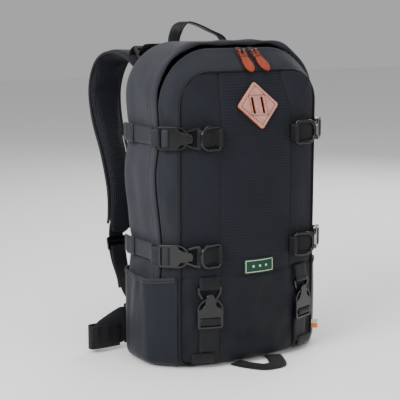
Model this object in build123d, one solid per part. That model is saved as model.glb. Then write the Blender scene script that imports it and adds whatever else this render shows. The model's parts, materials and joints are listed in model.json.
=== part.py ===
from build123d import *
import math
import os

# A 20 litre panel-loading daypack standing upright on its base.
# Millimetres. X runs across the pack, the front face looks along -Y, the wearer's back is on
# the +Y side, and Z is up.
# The origin is the middle of the flat base. "left" below means the -X side.

# ---------------------------------------------------------------- driving dimensions
BODY_TOP = 475.0          # top of the main body
BODY_HALF = 138.0         # half width of the main body
BODY_REAR = 75.0          # plane of the back panel
BODY_BEND = 50.0          # where the sides start to turn into the back panel
REAR_INSET = 15.0         # how far the outline has drawn in at the back panel
TOP_CORNER = 80.0         # radius of the upper corners of the main body
WALL = 3.0                # fabric with its foam and lining

ZIP_PLANE = -30.0         # front edge of the main body, where the zipper runs
ZIP_TOP = 467.0
ZIP_HALF = 136.5
ZIP_CORNER = 85.0
ZIP_COIL = 3.4            # zipper coil between main body and front gusset

PIPING_PLANE = -65.0      # plane of the piped edge of the front panel
PIPING_HALF = 120.0
PIPING_TOP = 434.0
PIPING_CORNER = 48.0
FRONT_CROWN = 28.0        # how far the front panel bulges past the piping
FRONT_LOW = 5.0           # the front panel ends a little above the base
LEAN_START = 360.0        # above this height the front leans back
LEAN_ANGLE = 20.0

HINGE_Z = 346.0           # line where the zipped top of the front panel folds down
SHOULDER_Z = 371.0        # beside the centre panel the fold line is higher, above the gear rings
SEAM_X = 62.0             # the two upright seams of the front panel
SEAM_Z = 137.0            # the level seam of the front panel
GAP = 0.4                 # free play between parts that move past each other

POCKET_TOP = 135.0
POCKET_BULGE = 13.0
POCKET_WALL = 1.8

WEB = 25.0                # compression and adjuster webbing
WEB_THICK = 1.8
LASH_WEB = 30.0           # wider webbing of the two front lash straps
UPPER_STRAP_Z = 342.0
LOWER_STRAP_Z = 171.0

BUCKLE_LENGTH = 52.0
BUCKLE_THICK = 4.5
BUCKLE_ANGLE = 44.0       # the side buckles cross the front corner at this angle
BUCKLE_CORNER = 30.0      # distance from the buckle's frame end to the piped corner
BUCKLE_LIFT = 3.5         # free height of the buckle over the piped corner
RING_LONG = 37.0
RING_TALL = 37.0
RING_WIRE = 4.5

STRAP_THICK = 13.0
STRAP_WIDE = 62.0
STRAP_NARROW = 46.0

PATCH = 68.0              # diagonal of the leather diamond
PATCH_Z = 384.0

parts = {}


def front_plane(y):
    """Drawing plane across the pack at depth y: local x is X, local y is Z, normal is -Y."""
    return Plane(origin=(0, y, 0), x_dir=(1, 0, 0), z_dir=(0, -1, 0))


def arch(half, top, corner, inset=0.0, low=0.0, waist=0.0):
    """Outline of the body: rounded base, sides that pull in at the straps, round upper corners."""
    foot = 15.0
    base = low + inset
    side = half - inset
    crown = top - inset
    radius = corner - inset
    diagonal = radius * (1 - math.sqrt(0.5))
    rise = [(base + foot, 2.0), (80.0, 1.0), (LOWER_STRAP_Z, -6.0), (285.0, 4.0),
            (UPPER_STRAP_Z, -3.0), (crown - radius, 0.0)]
    right = [(side + waist * swell, z) for z, swell in rise]
    left = [(-x, z) for x, z in right]
    start = right[0][0]
    edges = [
        Line((-start + foot, base), (start - foot, base)),
        ThreePointArc((start - foot, base), (start - 0.293 * foot, base + 0.293 * foot), right[0]),
        Spline(*right, tangents=((0, 1), (0, 1))),
        ThreePointArc(right[-1], (side - diagonal, crown - diagonal), (side - radius, crown)),
        Line((side - radius, crown), (-side + radius, crown)),
        ThreePointArc((-side + radius, crown), (-side + diagonal, crown - diagonal), left[-1]),
        Spline(*reversed(left), tangents=((0, -1), (0, -1))),
        ThreePointArc(left[0], (-start + 0.293 * foot, base + 0.293 * foot), (-start + foot, base)),
    ]
    return make_face(edges)


def slab(x0, x1, y0, y1, z0, z1):
    """Block between two corners, used to cut the sewn shells into their panels."""
    return Pos((x0 + x1) / 2, (y0 + y1) / 2, (z0 + z1) / 2) * Box(x1 - x0, y1 - y0, z1 - z0)


def prism(plane, sketch, depth):
    """Solid of a sketch drawn on a plane and pulled out along the plane's normal."""
    return extrude(plane * sketch, depth, dir=tuple(plane.z_dir))


def mirrored(shape):
    return mirror(shape, about=Plane.YZ)


def keep(name, shape):
    """Keep a node; a list of shapes is one node made of separate solids."""
    if isinstance(shape, (list, tuple)):
        shape = Compound(children=[s for item in shape for s in item.solids()])
    parts[name] = shape


def keep_pair(name, shape):
    keep(name + "_left", shape)
    keep(name + "_right", mirrored(shape))


# ---------------------------------------------------------------- main body
def body_bulk(inset):
    """The main body as a full solid, drawn in by inset everywhere but at its open front."""
    outline = arch(BODY_HALF, BODY_TOP, TOP_CORNER, inset, waist=1.0)
    rear = arch(BODY_HALF - REAR_INSET, BODY_TOP - REAR_INSET, TOP_CORNER - REAR_INSET,
                inset, low=0.6 * REAR_INSET, waist=1.0)
    front = ZIP_PLANE if inset == 0 else ZIP_PLANE - 1
    tub = prism(front_plane(BODY_BEND), outline, BODY_BEND - front)
    bend = loft([front_plane(BODY_BEND) * outline, front_plane(BODY_REAR) * rear], ruled=True)
    return tub + bend


def main_body():
    outer = body_bulk(0)
    inner = body_bulk(WALL) & slab(-200, 200, -40, BODY_REAR - WALL, 0, 500)
    shell = outer - inner
    rear_cut = slab(-200, 200, BODY_REAR - WALL, BODY_REAR + 1, -1, 500)
    ring = shell - rear_cut
    low, high = 40.0, 385.0
    keep("rear_panel", shell & rear_cut)
    keep("bottom_panel", ring & slab(-200, 200, -40, 80, -1, low))
    keep("top_panel", ring & slab(-200, 200, -40, 80, high, 500))
    keep("side_panel_left", ring & slab(-200, 0, -40, 80, low, high))
    keep("side_panel_right", ring & slab(0, 200, -40, 80, low, high))
    keep("frame_sheet", slab(-95, 95, BODY_REAR - WALL - 2.2, BODY_REAR - WALL - 0.2, 25, 430))


# ---------------------------------------------------------------- front module
def lean_limit(inset):
    """Everything behind the front face as seen from the side: upright, then leaning back."""
    front = PIPING_PLANE - FRONT_CROWN + inset
    reach = 480.0 - LEAN_START
    back = front + reach * math.tan(math.radians(LEAN_ANGLE))
    side = Plane(origin=(-200, 0, 0), x_dir=(0, 1, 0), z_dir=(1, 0, 0))
    profile = Polygon((front, -1), (front, LEAN_START), (back, 480), (20, 480), (20, -1), align=None)
    return prism(side, profile, 400)


def crown_limit(inset):
    """Everything behind the crowned front face as seen from above."""
    edge = PIPING_PLANE + inset
    front = PIPING_PLANE - FRONT_CROWN + inset
    half = PIPING_HALF
    outline = [
        ThreePointArc((-half, edge), (0, front), (half, edge)),
        Polyline((half, edge), (200, edge), (200, 20), (-200, 20), (-200, edge), (-half, edge)),
    ]
    return prism(Plane.XY, make_face(outline), 500)


def module_bulk(inset):
    """The front module as a full solid: gusset band and crowned, leaning front panel."""
    zip_face = arch(ZIP_HALF, ZIP_TOP, ZIP_CORNER, inset, low=2.0, waist=1.0)
    front_face = arch(PIPING_HALF, PIPING_TOP, PIPING_CORNER, inset, low=FRONT_LOW)
    zip_y = ZIP_PLANE - ZIP_COIL - GAP
    gusset = loft([front_plane(zip_y) * zip_face, front_plane(PIPING_PLANE) * front_face], ruled=True)
    cap = prism(front_plane(PIPING_PLANE), front_face, FRONT_CROWN + 5)
    cap = cap & lean_limit(inset) & crown_limit(inset)
    bulk = gusset + cap
    if inset:
        bulk = bulk + prism(front_plane(zip_y + 5), zip_face, 5)
    return bulk


def fold_region():
    """All that belongs to the zipped top: the centre panel, and higher up the shoulders."""
    centre = slab(-SEAM_X, SEAM_X, -130, 20, HINGE_Z, 500)
    return centre + slab(-200, 200, -130, 20, SHOULDER_Z, 500)


def front_module():
    shell = module_bulk(0) - module_bulk(WALL)
    fold = fold_region()
    flap = shell & fold
    fixed = shell - (fold + Pos(0, 0, -GAP) * fold + Pos(GAP, 0, 0) * fold + Pos(-GAP, 0, 0) * fold)
    face = slab(-200, 200, -130, PIPING_PLANE, -1, 500)
    band = slab(-200, 200, PIPING_PLANE, 20, -1, 500)
    keep("flap_panel", flap & face)
    keep("flap_gusset", flap & band)
    side = fixed & band
    keep("gusset_left", side & slab(-200, -60, -130, 20, 30, 500))
    keep("gusset_right", side & slab(60, 200, -130, 20, 30, 500))
    keep("gusset_bottom", side & slab(-200, 200, -130, 20, -1, 30))
    panel = fixed & face
    keep("front_panel_lower", panel & slab(-200, 200, -130, 20, -1, SEAM_Z))
    keep("front_panel_centre", panel & slab(-SEAM_X, SEAM_X, -130, 20, SEAM_Z, 500))
    keep("front_panel_left", panel & slab(-200, -SEAM_X, -130, 20, SEAM_Z, 500))
    keep("front_panel_right", panel & slab(SEAM_X, 200, -130, 20, SEAM_Z, 500))


def zipper_coils():
    """The coil lies between the main body and the gusset; its top stretch goes with the flap."""
    outline = arch(ZIP_HALF, ZIP_TOP, ZIP_CORNER, 0, low=2.0, waist=1.0)
    inside = arch(ZIP_HALF, ZIP_TOP, ZIP_CORNER, 3.0, low=2.0, waist=1.0)
    start = front_plane(ZIP_PLANE - GAP)
    coil = prism(start, outline - inside, ZIP_COIL - 0.2)
    keep("zipper_coils", coil & slab(-200, 200, -60, 0, LOWER_STRAP_Z, SHOULDER_Z - GAP))
    keep("flap_coil", coil & slab(-200, 200, -60, 0, SHOULDER_Z, 500))


def face_y(x):
    """Depth of the crowned front face at distance x from its middle (circular crown)."""
    radius = (PIPING_HALF**2 + FRONT_CROWN**2) / (2 * FRONT_CROWN)
    centre = PIPING_PLANE - FRONT_CROWN + radius
    return centre - math.sqrt(radius**2 - x**2)


def face_tilt(x):
    """Turn of the crowned front face at x about Z, in degrees."""
    radius = (PIPING_HALF**2 + FRONT_CROWN**2) / (2 * FRONT_CROWN)
    return math.degrees(math.asin(x / radius))


# ---------------------------------------------------------------- leather patch, label, tag
def leather_patch():
    """Diamond with two lash slots, sewn to the leaning part of the front."""
    lean = math.radians(LEAN_ANGLE)
    rise = PATCH_Z - LEAN_START
    y = PIPING_PLANE - FRONT_CROWN + rise * math.tan(lean) - 1.6
    normal = (0, -math.cos(lean), math.sin(lean))
    plane = Plane(origin=(0, y, PATCH_Z), x_dir=(1, 0, 0), z_dir=normal)
    half = PATCH / 2
    diamond = Polygon((half, 0), (0, half), (-half, 0), (0, -half), align=None)
    diamond = fillet(diamond.vertices(), 4)
    slots = Pos(-9, 0) * SlotOverall(24, 3, rotation=90) + Pos(9, 0) * SlotOverall(24, 3, rotation=90)
    keep("leather_patch", prism(plane, diamond - slots, 3.0))


def woven_label():
    keep("woven_label", slab(-26, 26, PIPING_PLANE - FRONT_CROWN - 1.8,
                            PIPING_PLANE - FRONT_CROWN - 0.2, SEAM_Z, SEAM_Z + 22))


def side_tag():
    """Small folded ribbon caught in the right-hand piping."""
    turn = Plane(origin=(PIPING_HALF + 5.5, PIPING_PLANE - 5, 34), x_dir=(0.8, -0.6, 0), z_dir=(0.6, 0.8, 0))
    keep("side_tag", prism(turn, RectangleRounded(10, 14, 1), 1.2))


# ---------------------------------------------------------------- zipper sliders and pulls
SLIDER_X = (-2.0, 20.0)
PULL_ALONG = 11.5         # the pull's pivot, down the slope from the zipper
PULL_LIFT = 5.3           # and its height over the slope
PULL_TURN = (3.0, 14.0)   # the pulls hang slanted
SLOPE = math.atan2(ZIP_TOP - PIPING_TOP, ZIP_PLANE - ZIP_COIL - GAP - PIPING_PLANE)


def slope_plane(x, along, lift, turn=0.0):
    """Plane on the sloping top of the flap: local y runs down the slope, turned towards +X."""
    down = Vector(0, -math.cos(SLOPE), -math.sin(SLOPE))
    out = Vector(0, -math.sin(SLOPE), math.cos(SLOPE))
    across = Vector(-1, 0, 0)
    a = math.radians(turn)
    origin = Vector(x, ZIP_PLANE - ZIP_COIL - GAP, ZIP_TOP) + down * along + out * lift
    return Plane(origin=origin, x_dir=across * math.cos(a) + down * math.sin(a), z_dir=out)


def sliders_and_pulls():
    """Metal slider with a bail, and a folded leather pull that swings on the bail."""
    leather = 3.4
    for side, x, turn in zip(("left", "right"), SLIDER_X, PULL_TURN):
        base = prism(slope_plane(x, 8.0, 0.5), RectangleRounded(11, 12, 2.5), 2.2)
        arm = prism(slope_plane(x, PULL_ALONG, 0.5), RectangleRounded(3, 4, 1), 5.8)
        axle = Pos(x, *tuple(slope_plane(x, PULL_ALONG, PULL_LIFT).origin)[1:]) * Rotation(0, 90, 0)
        keep("zipper_slider_" + side, base + arm + axle * Cylinder(0.9, 12.0))
        head = Pos(0, 4.4) * RectangleRounded(12, 12, 1.5)
        leaf = [
            Spline((-4.5, 8), (-8, 24), (-6, 36), (0, 41), (6, 36), (8, 24), (4.5, 8)),
            Line((4.5, 8), (-4.5, 8)),
        ]
        plane = slope_plane(x, PULL_ALONG, PULL_LIFT - leather / 2, turn)
        pull = prism(plane, head + make_face(leaf), leather)
        window = Pos(0, 1.5) * Rectangle(6.0, 12.6)
        behind = prism(slope_plane(x, PULL_ALONG - 1.6 - 10, PULL_LIFT - leather), Rectangle(40, 20), 2 * leather)
        pull = pull - prism(plane, window, leather) - axle * Cylinder(1.15, 20.0) - behind
        keep("zipper_pull_" + side, pull)


# ---------------------------------------------------------------- side pockets
def side_pocket():
    """Stretch pocket over the lower side and gusset, open at the top."""
    inner_edge = BODY_HALF + 3.5
    corner = (-PIPING_HALF - 3.0, PIPING_PLANE + 1.0)
    outside = Polyline(
        (-inner_edge, 50), (-inner_edge - POCKET_BULGE, 34), (-inner_edge - POCKET_BULGE, -26), corner)
    wall = prism(Plane.XY.offset(6), trace(outside, POCKET_WALL), POCKET_TOP - 6)
    floor = make_face(Polyline((-inner_edge, 50), (-inner_edge - POCKET_BULGE, 34),
                               (-inner_edge - POCKET_BULGE, -26), corner, (-inner_edge, -30), (-inner_edge, 50)))
    floor = prism(Plane.XY.offset(6), floor, POCKET_WALL)
    return wall + floor


# ---------------------------------------------------------------- buckles, rings, webbing
def buckle_plane():
    """Plane of the left side buckles: local x runs from the frame to the tongue, normal outward."""
    a = math.radians(BUCKLE_ANGLE)
    along = (math.cos(a), -math.sin(a), 0)
    out = (-math.sin(a), -math.cos(a), 0)
    x = -PIPING_HALF + BUCKLE_LIFT * out[0] - BUCKLE_CORNER * along[0]
    y = PIPING_PLANE + BUCKLE_LIFT * out[1] - BUCKLE_CORNER * along[1]
    return Plane(origin=(x, y, 0), x_dir=along, z_dir=out)


def lash_plane(x, z):
    """Plane of a front lash buckle at x: local x points up, normal out of the crowned face."""
    tilt = math.radians(face_tilt(x))
    out = (math.sin(tilt), -math.cos(tilt), 0)
    lift = 6.0
    return Plane(origin=(x + lift * out[0], face_y(x) + lift * out[1], z), x_dir=(0, 0, 1), z_dir=out)


def male_buckle(web):
    """Ladder-lock frame, spear-shaped tongue and the two sprung side prongs, tongue along +X."""
    half = web / 2 + 4.5
    tip = BUCKLE_LENGTH
    nook = 0.293 * 4
    curve = Spline((25, half), (32, 0.62 * half), (40, 7.6), (47, 6.6), (tip, 0),
                   tangents=((1, 0), (0, -1)))
    shoulder = Line((4, half), (25, half))
    corner = ThreePointArc((0, half - 4), (nook, half - nook), (4, half))
    end = Line((0, -half + 4), (0, half - 4))
    upper = [curve, shoulder, corner]
    plate = prism(Plane.XY, make_face(upper + [mirror(e, about=Plane.XZ) for e in upper] + [end]), BUCKLE_THICK)
    rims = plate.edges().filter_by_position(Axis.Z, BUCKLE_THICK - 0.01, BUCKLE_THICK + 0.01)
    plate = fillet(rims, 0.9)
    for x, wide in ((5.4, 4.4), (15.4, 3.0)):
        plate = plate - prism(Plane.XY, Pos(x, 0) * RectangleRounded(wide, web + 1, 1), BUCKLE_THICK)
    prong = trace(ThreePointArc((23, half - 1.2), (34, half - 2.2), (43.5, 7.4)), 2.2)
    prong = prism(Plane.XY, prong, BUCKLE_THICK - 1.2)
    return plate + prong + mirror(prong, about=Plane.XZ)


def female_buckle(web):
    """Wishbone that the tongue snaps into, one layer below it, with the bar for its webbing tab."""
    half = web / 2 + 4.5
    upper = [(61.6, half - 0.4), (52, half - 2), (43, 12), (33, 9)]
    lower = [(x, -y) for x, y in reversed(upper)]
    outer = Polygon(*upper, *lower, align=None)
    outer = fillet(outer.vertices(), 2.6)
    return prism(Plane.XY.offset(-GAP - 3.6), outer - offset(outer, -3.0), 3.6)


def d_ring():
    """Gear ring with one straight bar at x=0 and a round far side, lying in its own XY plane."""
    def face(inset):
        box = Pos(RING_LONG / 2 - RING_WIRE / 2, 0) * Rectangle(RING_LONG - 2 * inset, RING_TALL - 2 * inset)
        near = box.vertices().filter_by_position(Axis.X, -RING_WIRE, RING_LONG / 3)
        far = box.vertices().filter_by_position(Axis.X, RING_LONG / 2, 2 * RING_LONG)
        box = fillet(near, 6.0 - inset)
        far = box.vertices().filter_by_position(Axis.X, RING_LONG - 10, 2 * RING_LONG)
        return fillet(far, 15.0 - inset)
    ring = extrude(face(0) - face(RING_WIRE), RING_WIRE / 2, both=True)
    return fillet(ring.edges(), 1.6)


def side_web(z):
    """Compression strap on the left side, from the rear seam to the buckle's frame."""
    side = BODY_HALF + 1.5
    frame = buckle_plane()
    under = frame.from_local_coords(Vector(11, 0, -1.8))
    lead = frame.from_local_coords(Vector(-2, 0, -2.2))
    path = FilletPolyline((-side + 2, 66), (-side, 50), (-side, -24), (lead.X, lead.Y), (under.X, under.Y), radius=4)
    web = prism(Plane.XY.offset(z - WEB / 2), trace(path, WEB_THICK), WEB)
    tab = slab(-side - 3.2, -side - WEB_THICK / 2 - 0.1, 30, 50, z - WEB / 2 - 1.5, z + WEB / 2 + 1.5)
    return web + tab


def ring_axis():
    """Where the straight bar of a left gear ring lies, seen from above."""
    x = -SEAM_X - 6.0
    return x, tab_y() - WEB_THICK / 2 - 0.3 - 2.6


def tab_y():
    """Depth of the webbing tab that runs taut from the upright seam to the side buckle."""
    return face_y(SEAM_X - 4) - 0.4 - WEB_THICK / 2


def ring_tab(z):
    """Tab from the upright seam: loops over the ring's bar and round the wishbone's bar."""
    x, y = ring_axis()
    base = tab_y()
    far = buckle_plane().from_local_coords(Vector(60, 0, -GAP - 1.8))
    cover = 2.6 + 0.3 + WEB_THICK / 2
    start = -SEAM_X - 1.6
    loop = Polyline((start, base), (start, y - cover), (x - 4.6, y - cover), (x - 4.6, base), (start, base))
    reach = Polyline((x - 4.6, base), (far.X + 6.5, base), (far.X + 3.8, far.Y + 1.2))
    low = Plane.XY.offset(z - WEB / 2)
    return prism(low, trace(loop, WEB_THICK), WEB) + prism(low, trace(reach, WEB_THICK), WEB)


def side_hardware():
    buckle = male_buckle(WEB)
    wishbone = female_buckle(WEB)
    ring = d_ring()
    receivers = []
    tabs = []
    for level, z in (("upper", UPPER_STRAP_Z), ("lower", LOWER_STRAP_Z)):
        at = Pos(0, 0, z) * Location(buckle_plane())
        receivers += [at * wishbone, mirrored(at * wishbone)]
        tabs += [ring_tab(z), mirrored(ring_tab(z))]
        keep_pair("buckle_" + level, at * buckle)
        keep_pair("compression_strap_" + level, side_web(z))
        x, y = ring_axis()
        ring_plane = Plane(origin=(x, y, z), x_dir=(-0.997, -0.079, 0), z_dir=(0.079, -0.997, 0))
        keep_pair("gear_ring_" + level, Location(ring_plane) * ring)
    keep("buckle_receivers", receivers)
    keep("ring_tabs", tabs)


# ---------------------------------------------------------------- front lash straps
LASH = (("left", -80.0, 62.0), ("right", 86.0, 54.0))


def lash_straps():
    buckle = male_buckle(LASH_WEB)
    wishbone = female_buckle(LASH_WEB)
    receivers = []
    webs = []
    for side, x, z in LASH:
        plane = lash_plane(x, z)
        at = Location(plane)
        keep("lash_buckle_" + side, at * buckle)
        receivers.append(at * wishbone)
        sewn = SEAM_Z - z
        tab = Pos(0, 0, -5.6) * slab(56, sewn, -LASH_WEB / 2, LASH_WEB / 2, 0, 1.6)
        cover = Pos(0, 0, 0.2) * slab(56, sewn, -LASH_WEB / 2, LASH_WEB / 2, 0, 1.6)
        ends = slab(sewn - 1.6, sewn, -LASH_WEB / 2, LASH_WEB / 2, -5.6, 1.8)
        fold = slab(55, 56.6, -LASH_WEB / 2 + 1.5, LASH_WEB / 2 - 1.5, -5.6, 1.8)
        webs.append(at * (tab + cover + ends + fold))
        tail = Pos(0, 0, -5.6) * slab(-z + 14, 12, -LASH_WEB / 2, LASH_WEB / 2, 0, 1.6)
        webs.append(at * tail)
    keep("lash_receivers", receivers)
    keep("lash_webbing", webs)
    anchors = []
    for side, x, z in LASH:
        at = Location(lash_plane(x + math.copysign(7, x), 0))
        anchors.append(at * slab(1.0, 22.0, -18, 18, -3.6, -0.4))
    keep("lash_anchors", anchors)


def bottom_loop():
    """Tool loop of flat webbing that lies forward of the base on the ground."""
    outer = Polygon((-46, -84), (-30, -130), (-14, -140), (16, -140), (30, -130), (46, -84), align=None)
    inner = Polygon((-20, -84), (-10, -112), (10, -112), (20, -84), align=None)
    return prism(Plane.XY.offset(0.4), outer - inner, WEB_THICK)


# ---------------------------------------------------------------- back panel and harness
STRAP_PATH = [(-62, 88, 404), (-70, 110, 441), (-86, 146, 455), (-97, 177, 440), (-104, 190, 400),
              (-106, 180, 350), (-107, 152, 295), (-108, 133, 240), (-111, 130, 195), (-117, 134, 172)]


def shoulder_strap():
    """Padded strap: rectangular sections set square to its S-shaped run, joined by flat facets."""
    points = [Vector(*p) for p in STRAP_PATH]
    count = len(points)
    sections = []
    for i, point in enumerate(points):
        ahead = points[min(i + 1, count - 1)]
        behind = points[max(i - 1, 0)]
        run = (ahead - behind).normalized()
        across = Vector(1, 0, 0) - run * run.X
        width = STRAP_WIDE + (STRAP_NARROW - STRAP_WIDE) * i / (count - 1)
        plane = Plane(origin=point, x_dir=across, z_dir=run)
        sections.append(plane * Rectangle(width, STRAP_THICK))
    return loft(sections, ruled=True)


def harness():
    """Shoulder straps with their load lifters, lower adjusters and ladder locks."""
    keep_pair("shoulder_strap", shoulder_strap())
    slot = Rectangle(WEB + 1, 4)
    lock = RectangleRounded(34, 22, 4) - Pos(0, 4.5) * slot - Pos(0, -4.5) * slot
    lock = prism(Plane.XY, lock, 4)
    top = Plane(origin=(-84, 93, 456), x_dir=(1, 0, 0), z_dir=(0, -0.67, 0.74))
    low = Plane(origin=(-119, 125, 157), x_dir=(1, 0, 0), z_dir=(0, 0.97, -0.24))
    locks = [Location(plane) * lock for plane in (top, low)]
    keep("ladder_locks", locks + [mirrored(one) for one in locks])
    yz = Plane(origin=(0, 0, 0), x_dir=(0, 1, 0), z_dir=(1, 0, 0))
    lifter = prism(yz, trace(Line((64, 471.5), (86, 460.5)), WEB_THICK), WEB)
    run = FilletPolyline((122, 145), (112, 116), (86, 85), (76.5, 80), radius=4)
    adjuster = prism(yz, trace(run, WEB_THICK), WEB)
    webs = [Pos(-84 - WEB / 2, 0, 0) * lifter, Pos(-119 - WEB / 2, 0, 0) * adjuster]
    keep("harness_webbing", webs + [mirrored(one) for one in webs])


def back_pads():
    """Ventilated foam pads on the back panel and the lumbar pad between the hip wings."""
    pad = slab(-92, -14, BODY_REAR + 0.2, BODY_REAR + 10, 95, 392)
    pad = fillet(pad.edges().filter_by(Axis.Y), 18)
    keep_pair("back_pad", pad)
    lumbar = slab(-88, 88, BODY_REAR + 0.2, BODY_REAR + 15, 22, 84)
    keep("lumbar_pad", fillet(lumbar.edges().filter_by(Axis.Y), 14))
    yoke = slab(-98, 98, BODY_REAR + 0.2, BODY_REAR + 4, 398, 414)
    keep("strap_yoke", fillet(yoke.edges().filter_by(Axis.Y), 5))


WING_AXIS = (-122.0, 82.0)


def hip_wing():
    """Padded hip-belt wing, taller at its root, turning on the seam at the back panel."""
    x0, y0 = WING_AXIS
    outline = Polygon((x0 - 2, 6), (x0 - 2, 74), (x0 - 30, 68), (x0 - 62, 47), (x0 - 66, 40),
                      (x0 - 66, 6), (x0 - 60, 2), (x0 - 20, 1), align=None)
    return prism(front_plane(y0 + 6), outline, 12)


def hip_webbing():
    """Waist webbing folded back on itself at the end of the wing, with its slide."""
    x0, y0 = WING_AXIS
    flat = slab(x0 - 70, x0 - 22, y0 - 8.2, y0 - 6.3, 5, 43)
    tail = slab(x0 - 72, x0 - 70, y0 - 8.2, y0 + 6, 5, 43)
    return flat + tail


def grab_handle():
    """Webbing handle above the top rear seam, with a lopsided natural bow."""
    path = FilletPolyline((-46, 472.5), (-44, 479), (-30, 501), (-19, 503), (46, 479), (47, 472.5), radius=5)
    return prism(front_plane(76), trace(path, 2.6), 18)


def handle_ends():
    """Stitched-down ends of the handle webbing on the back panel."""
    return [slab(x - 9, x + 9, BODY_REAR + 0.2, BODY_REAR + 2.2, 440, 466) for x in (-46.5, 46.5)]


# ---------------------------------------------------------------- assembly
main_body()
front_module()
zipper_coils()
leather_patch()
woven_label()
side_tag()
sliders_and_pulls()
keep_pair("side_pocket", side_pocket())
side_hardware()
lash_straps()
keep("bottom_loop", bottom_loop())
harness()
back_pads()
keep_pair("hip_wing", hip_wing())
keep_pair("hip_webbing", hip_webbing())
keep("grab_handle", grab_handle())
keep("handle_ends", handle_ends())

os.makedirs("parts", exist_ok=True)
for name, shape in parts.items():
    export_step(shape, "parts/" + name + ".step")
print(len(parts), "nodes written")
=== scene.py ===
import json
import math

import bmesh
import bpy
import numpy as np
from mathutils import Matrix, Vector


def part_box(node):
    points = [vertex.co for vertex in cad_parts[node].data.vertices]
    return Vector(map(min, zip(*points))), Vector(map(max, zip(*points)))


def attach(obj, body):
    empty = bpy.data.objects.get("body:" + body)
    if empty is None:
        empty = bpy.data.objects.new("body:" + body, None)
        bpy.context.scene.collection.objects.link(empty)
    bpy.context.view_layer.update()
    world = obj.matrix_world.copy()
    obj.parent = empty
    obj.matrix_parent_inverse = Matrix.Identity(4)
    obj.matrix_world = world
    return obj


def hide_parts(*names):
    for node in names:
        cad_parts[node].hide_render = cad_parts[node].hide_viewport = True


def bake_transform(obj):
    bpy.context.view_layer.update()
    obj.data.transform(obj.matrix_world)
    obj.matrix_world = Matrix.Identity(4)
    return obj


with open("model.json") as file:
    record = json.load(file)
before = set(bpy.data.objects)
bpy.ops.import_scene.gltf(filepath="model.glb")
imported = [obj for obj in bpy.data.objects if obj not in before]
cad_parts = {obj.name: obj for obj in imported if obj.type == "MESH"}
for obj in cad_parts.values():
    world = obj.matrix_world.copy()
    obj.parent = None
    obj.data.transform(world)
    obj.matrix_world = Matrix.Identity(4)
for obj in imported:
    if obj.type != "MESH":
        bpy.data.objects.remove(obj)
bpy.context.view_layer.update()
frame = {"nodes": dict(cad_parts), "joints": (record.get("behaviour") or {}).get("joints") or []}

MM = 0.001
PACK, FLAP = "pack", "flap"
SIDES = (("left", -1), ("right", 1))
STRAPS = [level + "_" + name for level in ("upper", "lower") for name, _ in SIDES]


# ---------------------------------------------------------------- sizes read from the frame, in mm
BOXES = {name: [Vector(corner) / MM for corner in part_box(name)] for name in frame["nodes"]}


def low(node):
    return BOXES[node][0]


def high(node):
    return BOXES[node][1]


def middle(node):
    return (low(node) + high(node)) / 2


def joint(name):
    return next(j for j in frame["joints"] if j["name"] == name)


def pivot(name):
    return Vector(joint(name)["pos_m"]) / MM


RIM_Y = low("top_panel").y
REAR_Y = high("rear_panel").y
BODY_TOP = high("top_panel").z
BODY_HALF = high("top_panel").x
BODY_CORNER = 80.0
BACK_TURN_Y, BACK_ROUND = 46.0, 16.0
MID_Z = 240.0
ZIP_Y = high("flap_gusset").y
ZIP_TOP = high("flap_gusset").z
ZIP_HALF = high("flap_gusset").x
ZIP_CORNER = 85.0
PIPE_Y = low("flap_gusset").y
PIPE_TOP = high("flap_panel").z
PIPE_HALF = high("flap_panel").x
PIPE_CORNER = 48.0
CROWN = PIPE_Y - low("front_panel_centre").y
CROWN_RADIUS = (PIPE_HALF ** 2 + CROWN ** 2) / (2 * CROWN)
FRONT_LOW = low("front_panel_lower").z
SEAM_Z = high("front_panel_lower").z
SEAM_X = high("front_panel_centre").x
UPPER_Z = middle("compression_strap_upper_left").z
LOWER_Z = middle("compression_strap_lower_left").z
HINGE = pivot("flap_hinge")
PATCH_Z = middle("leather_patch").z
LEAN_START = 360.0
LEAN = math.radians(20)
LEAN_OUT = Vector((0, -math.cos(LEAN), math.sin(LEAN)))
WEB, LASH_WEB = 25.0, 30.0
WEB_THICK = 1.6
BUCKLE_THICK = 4.5
UP = (0, 0, 1)


# ---------------------------------------------------------------- small maths
def ease(t):
    t = np.clip(t, 0, 1)
    return t * t * (3 - 2 * t)


def knots(z, table):
    """Smooth run through (z, value) pairs, level at each of them."""
    z = np.asarray(z, float)
    out = np.full(z.shape, float(table[0][1]))
    for (z0, v0), (z1, v1) in zip(table, table[1:]):
        out = np.where(z >= z0, v0 + (v1 - v0) * ease((z - z0) / (z1 - z0)), out)
    return out


def bump(x, centre, width):
    return np.exp(-((x - centre) / width) ** 2)


def ripple(p, scale, seed, waves=9):
    """Smooth repeatable unevenness of about -1 to 1; scale is its size along x, y and z in mm."""
    rng = np.random.RandomState(seed)
    p = np.asarray(p, float) / np.asarray(scale, float)
    total = np.zeros(p.shape[:-1])
    for _ in range(waves):
        k = rng.normal(size=3)
        k = k / np.linalg.norm(k) * rng.uniform(2.5, 7.0)
        total += np.sin(p @ k + rng.uniform(0, 2 * math.pi))
    return total / math.sqrt(waves)


def stack(*parts):
    """Arrays and single values put together as points."""
    return np.stack(np.broadcast_arrays(*parts), axis=-1)


def read_off(x, xs, rows):
    """Each column of a table at x."""
    return [np.interp(x, xs, rows[:, k]) for k in range(rows.shape[1])]


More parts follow.
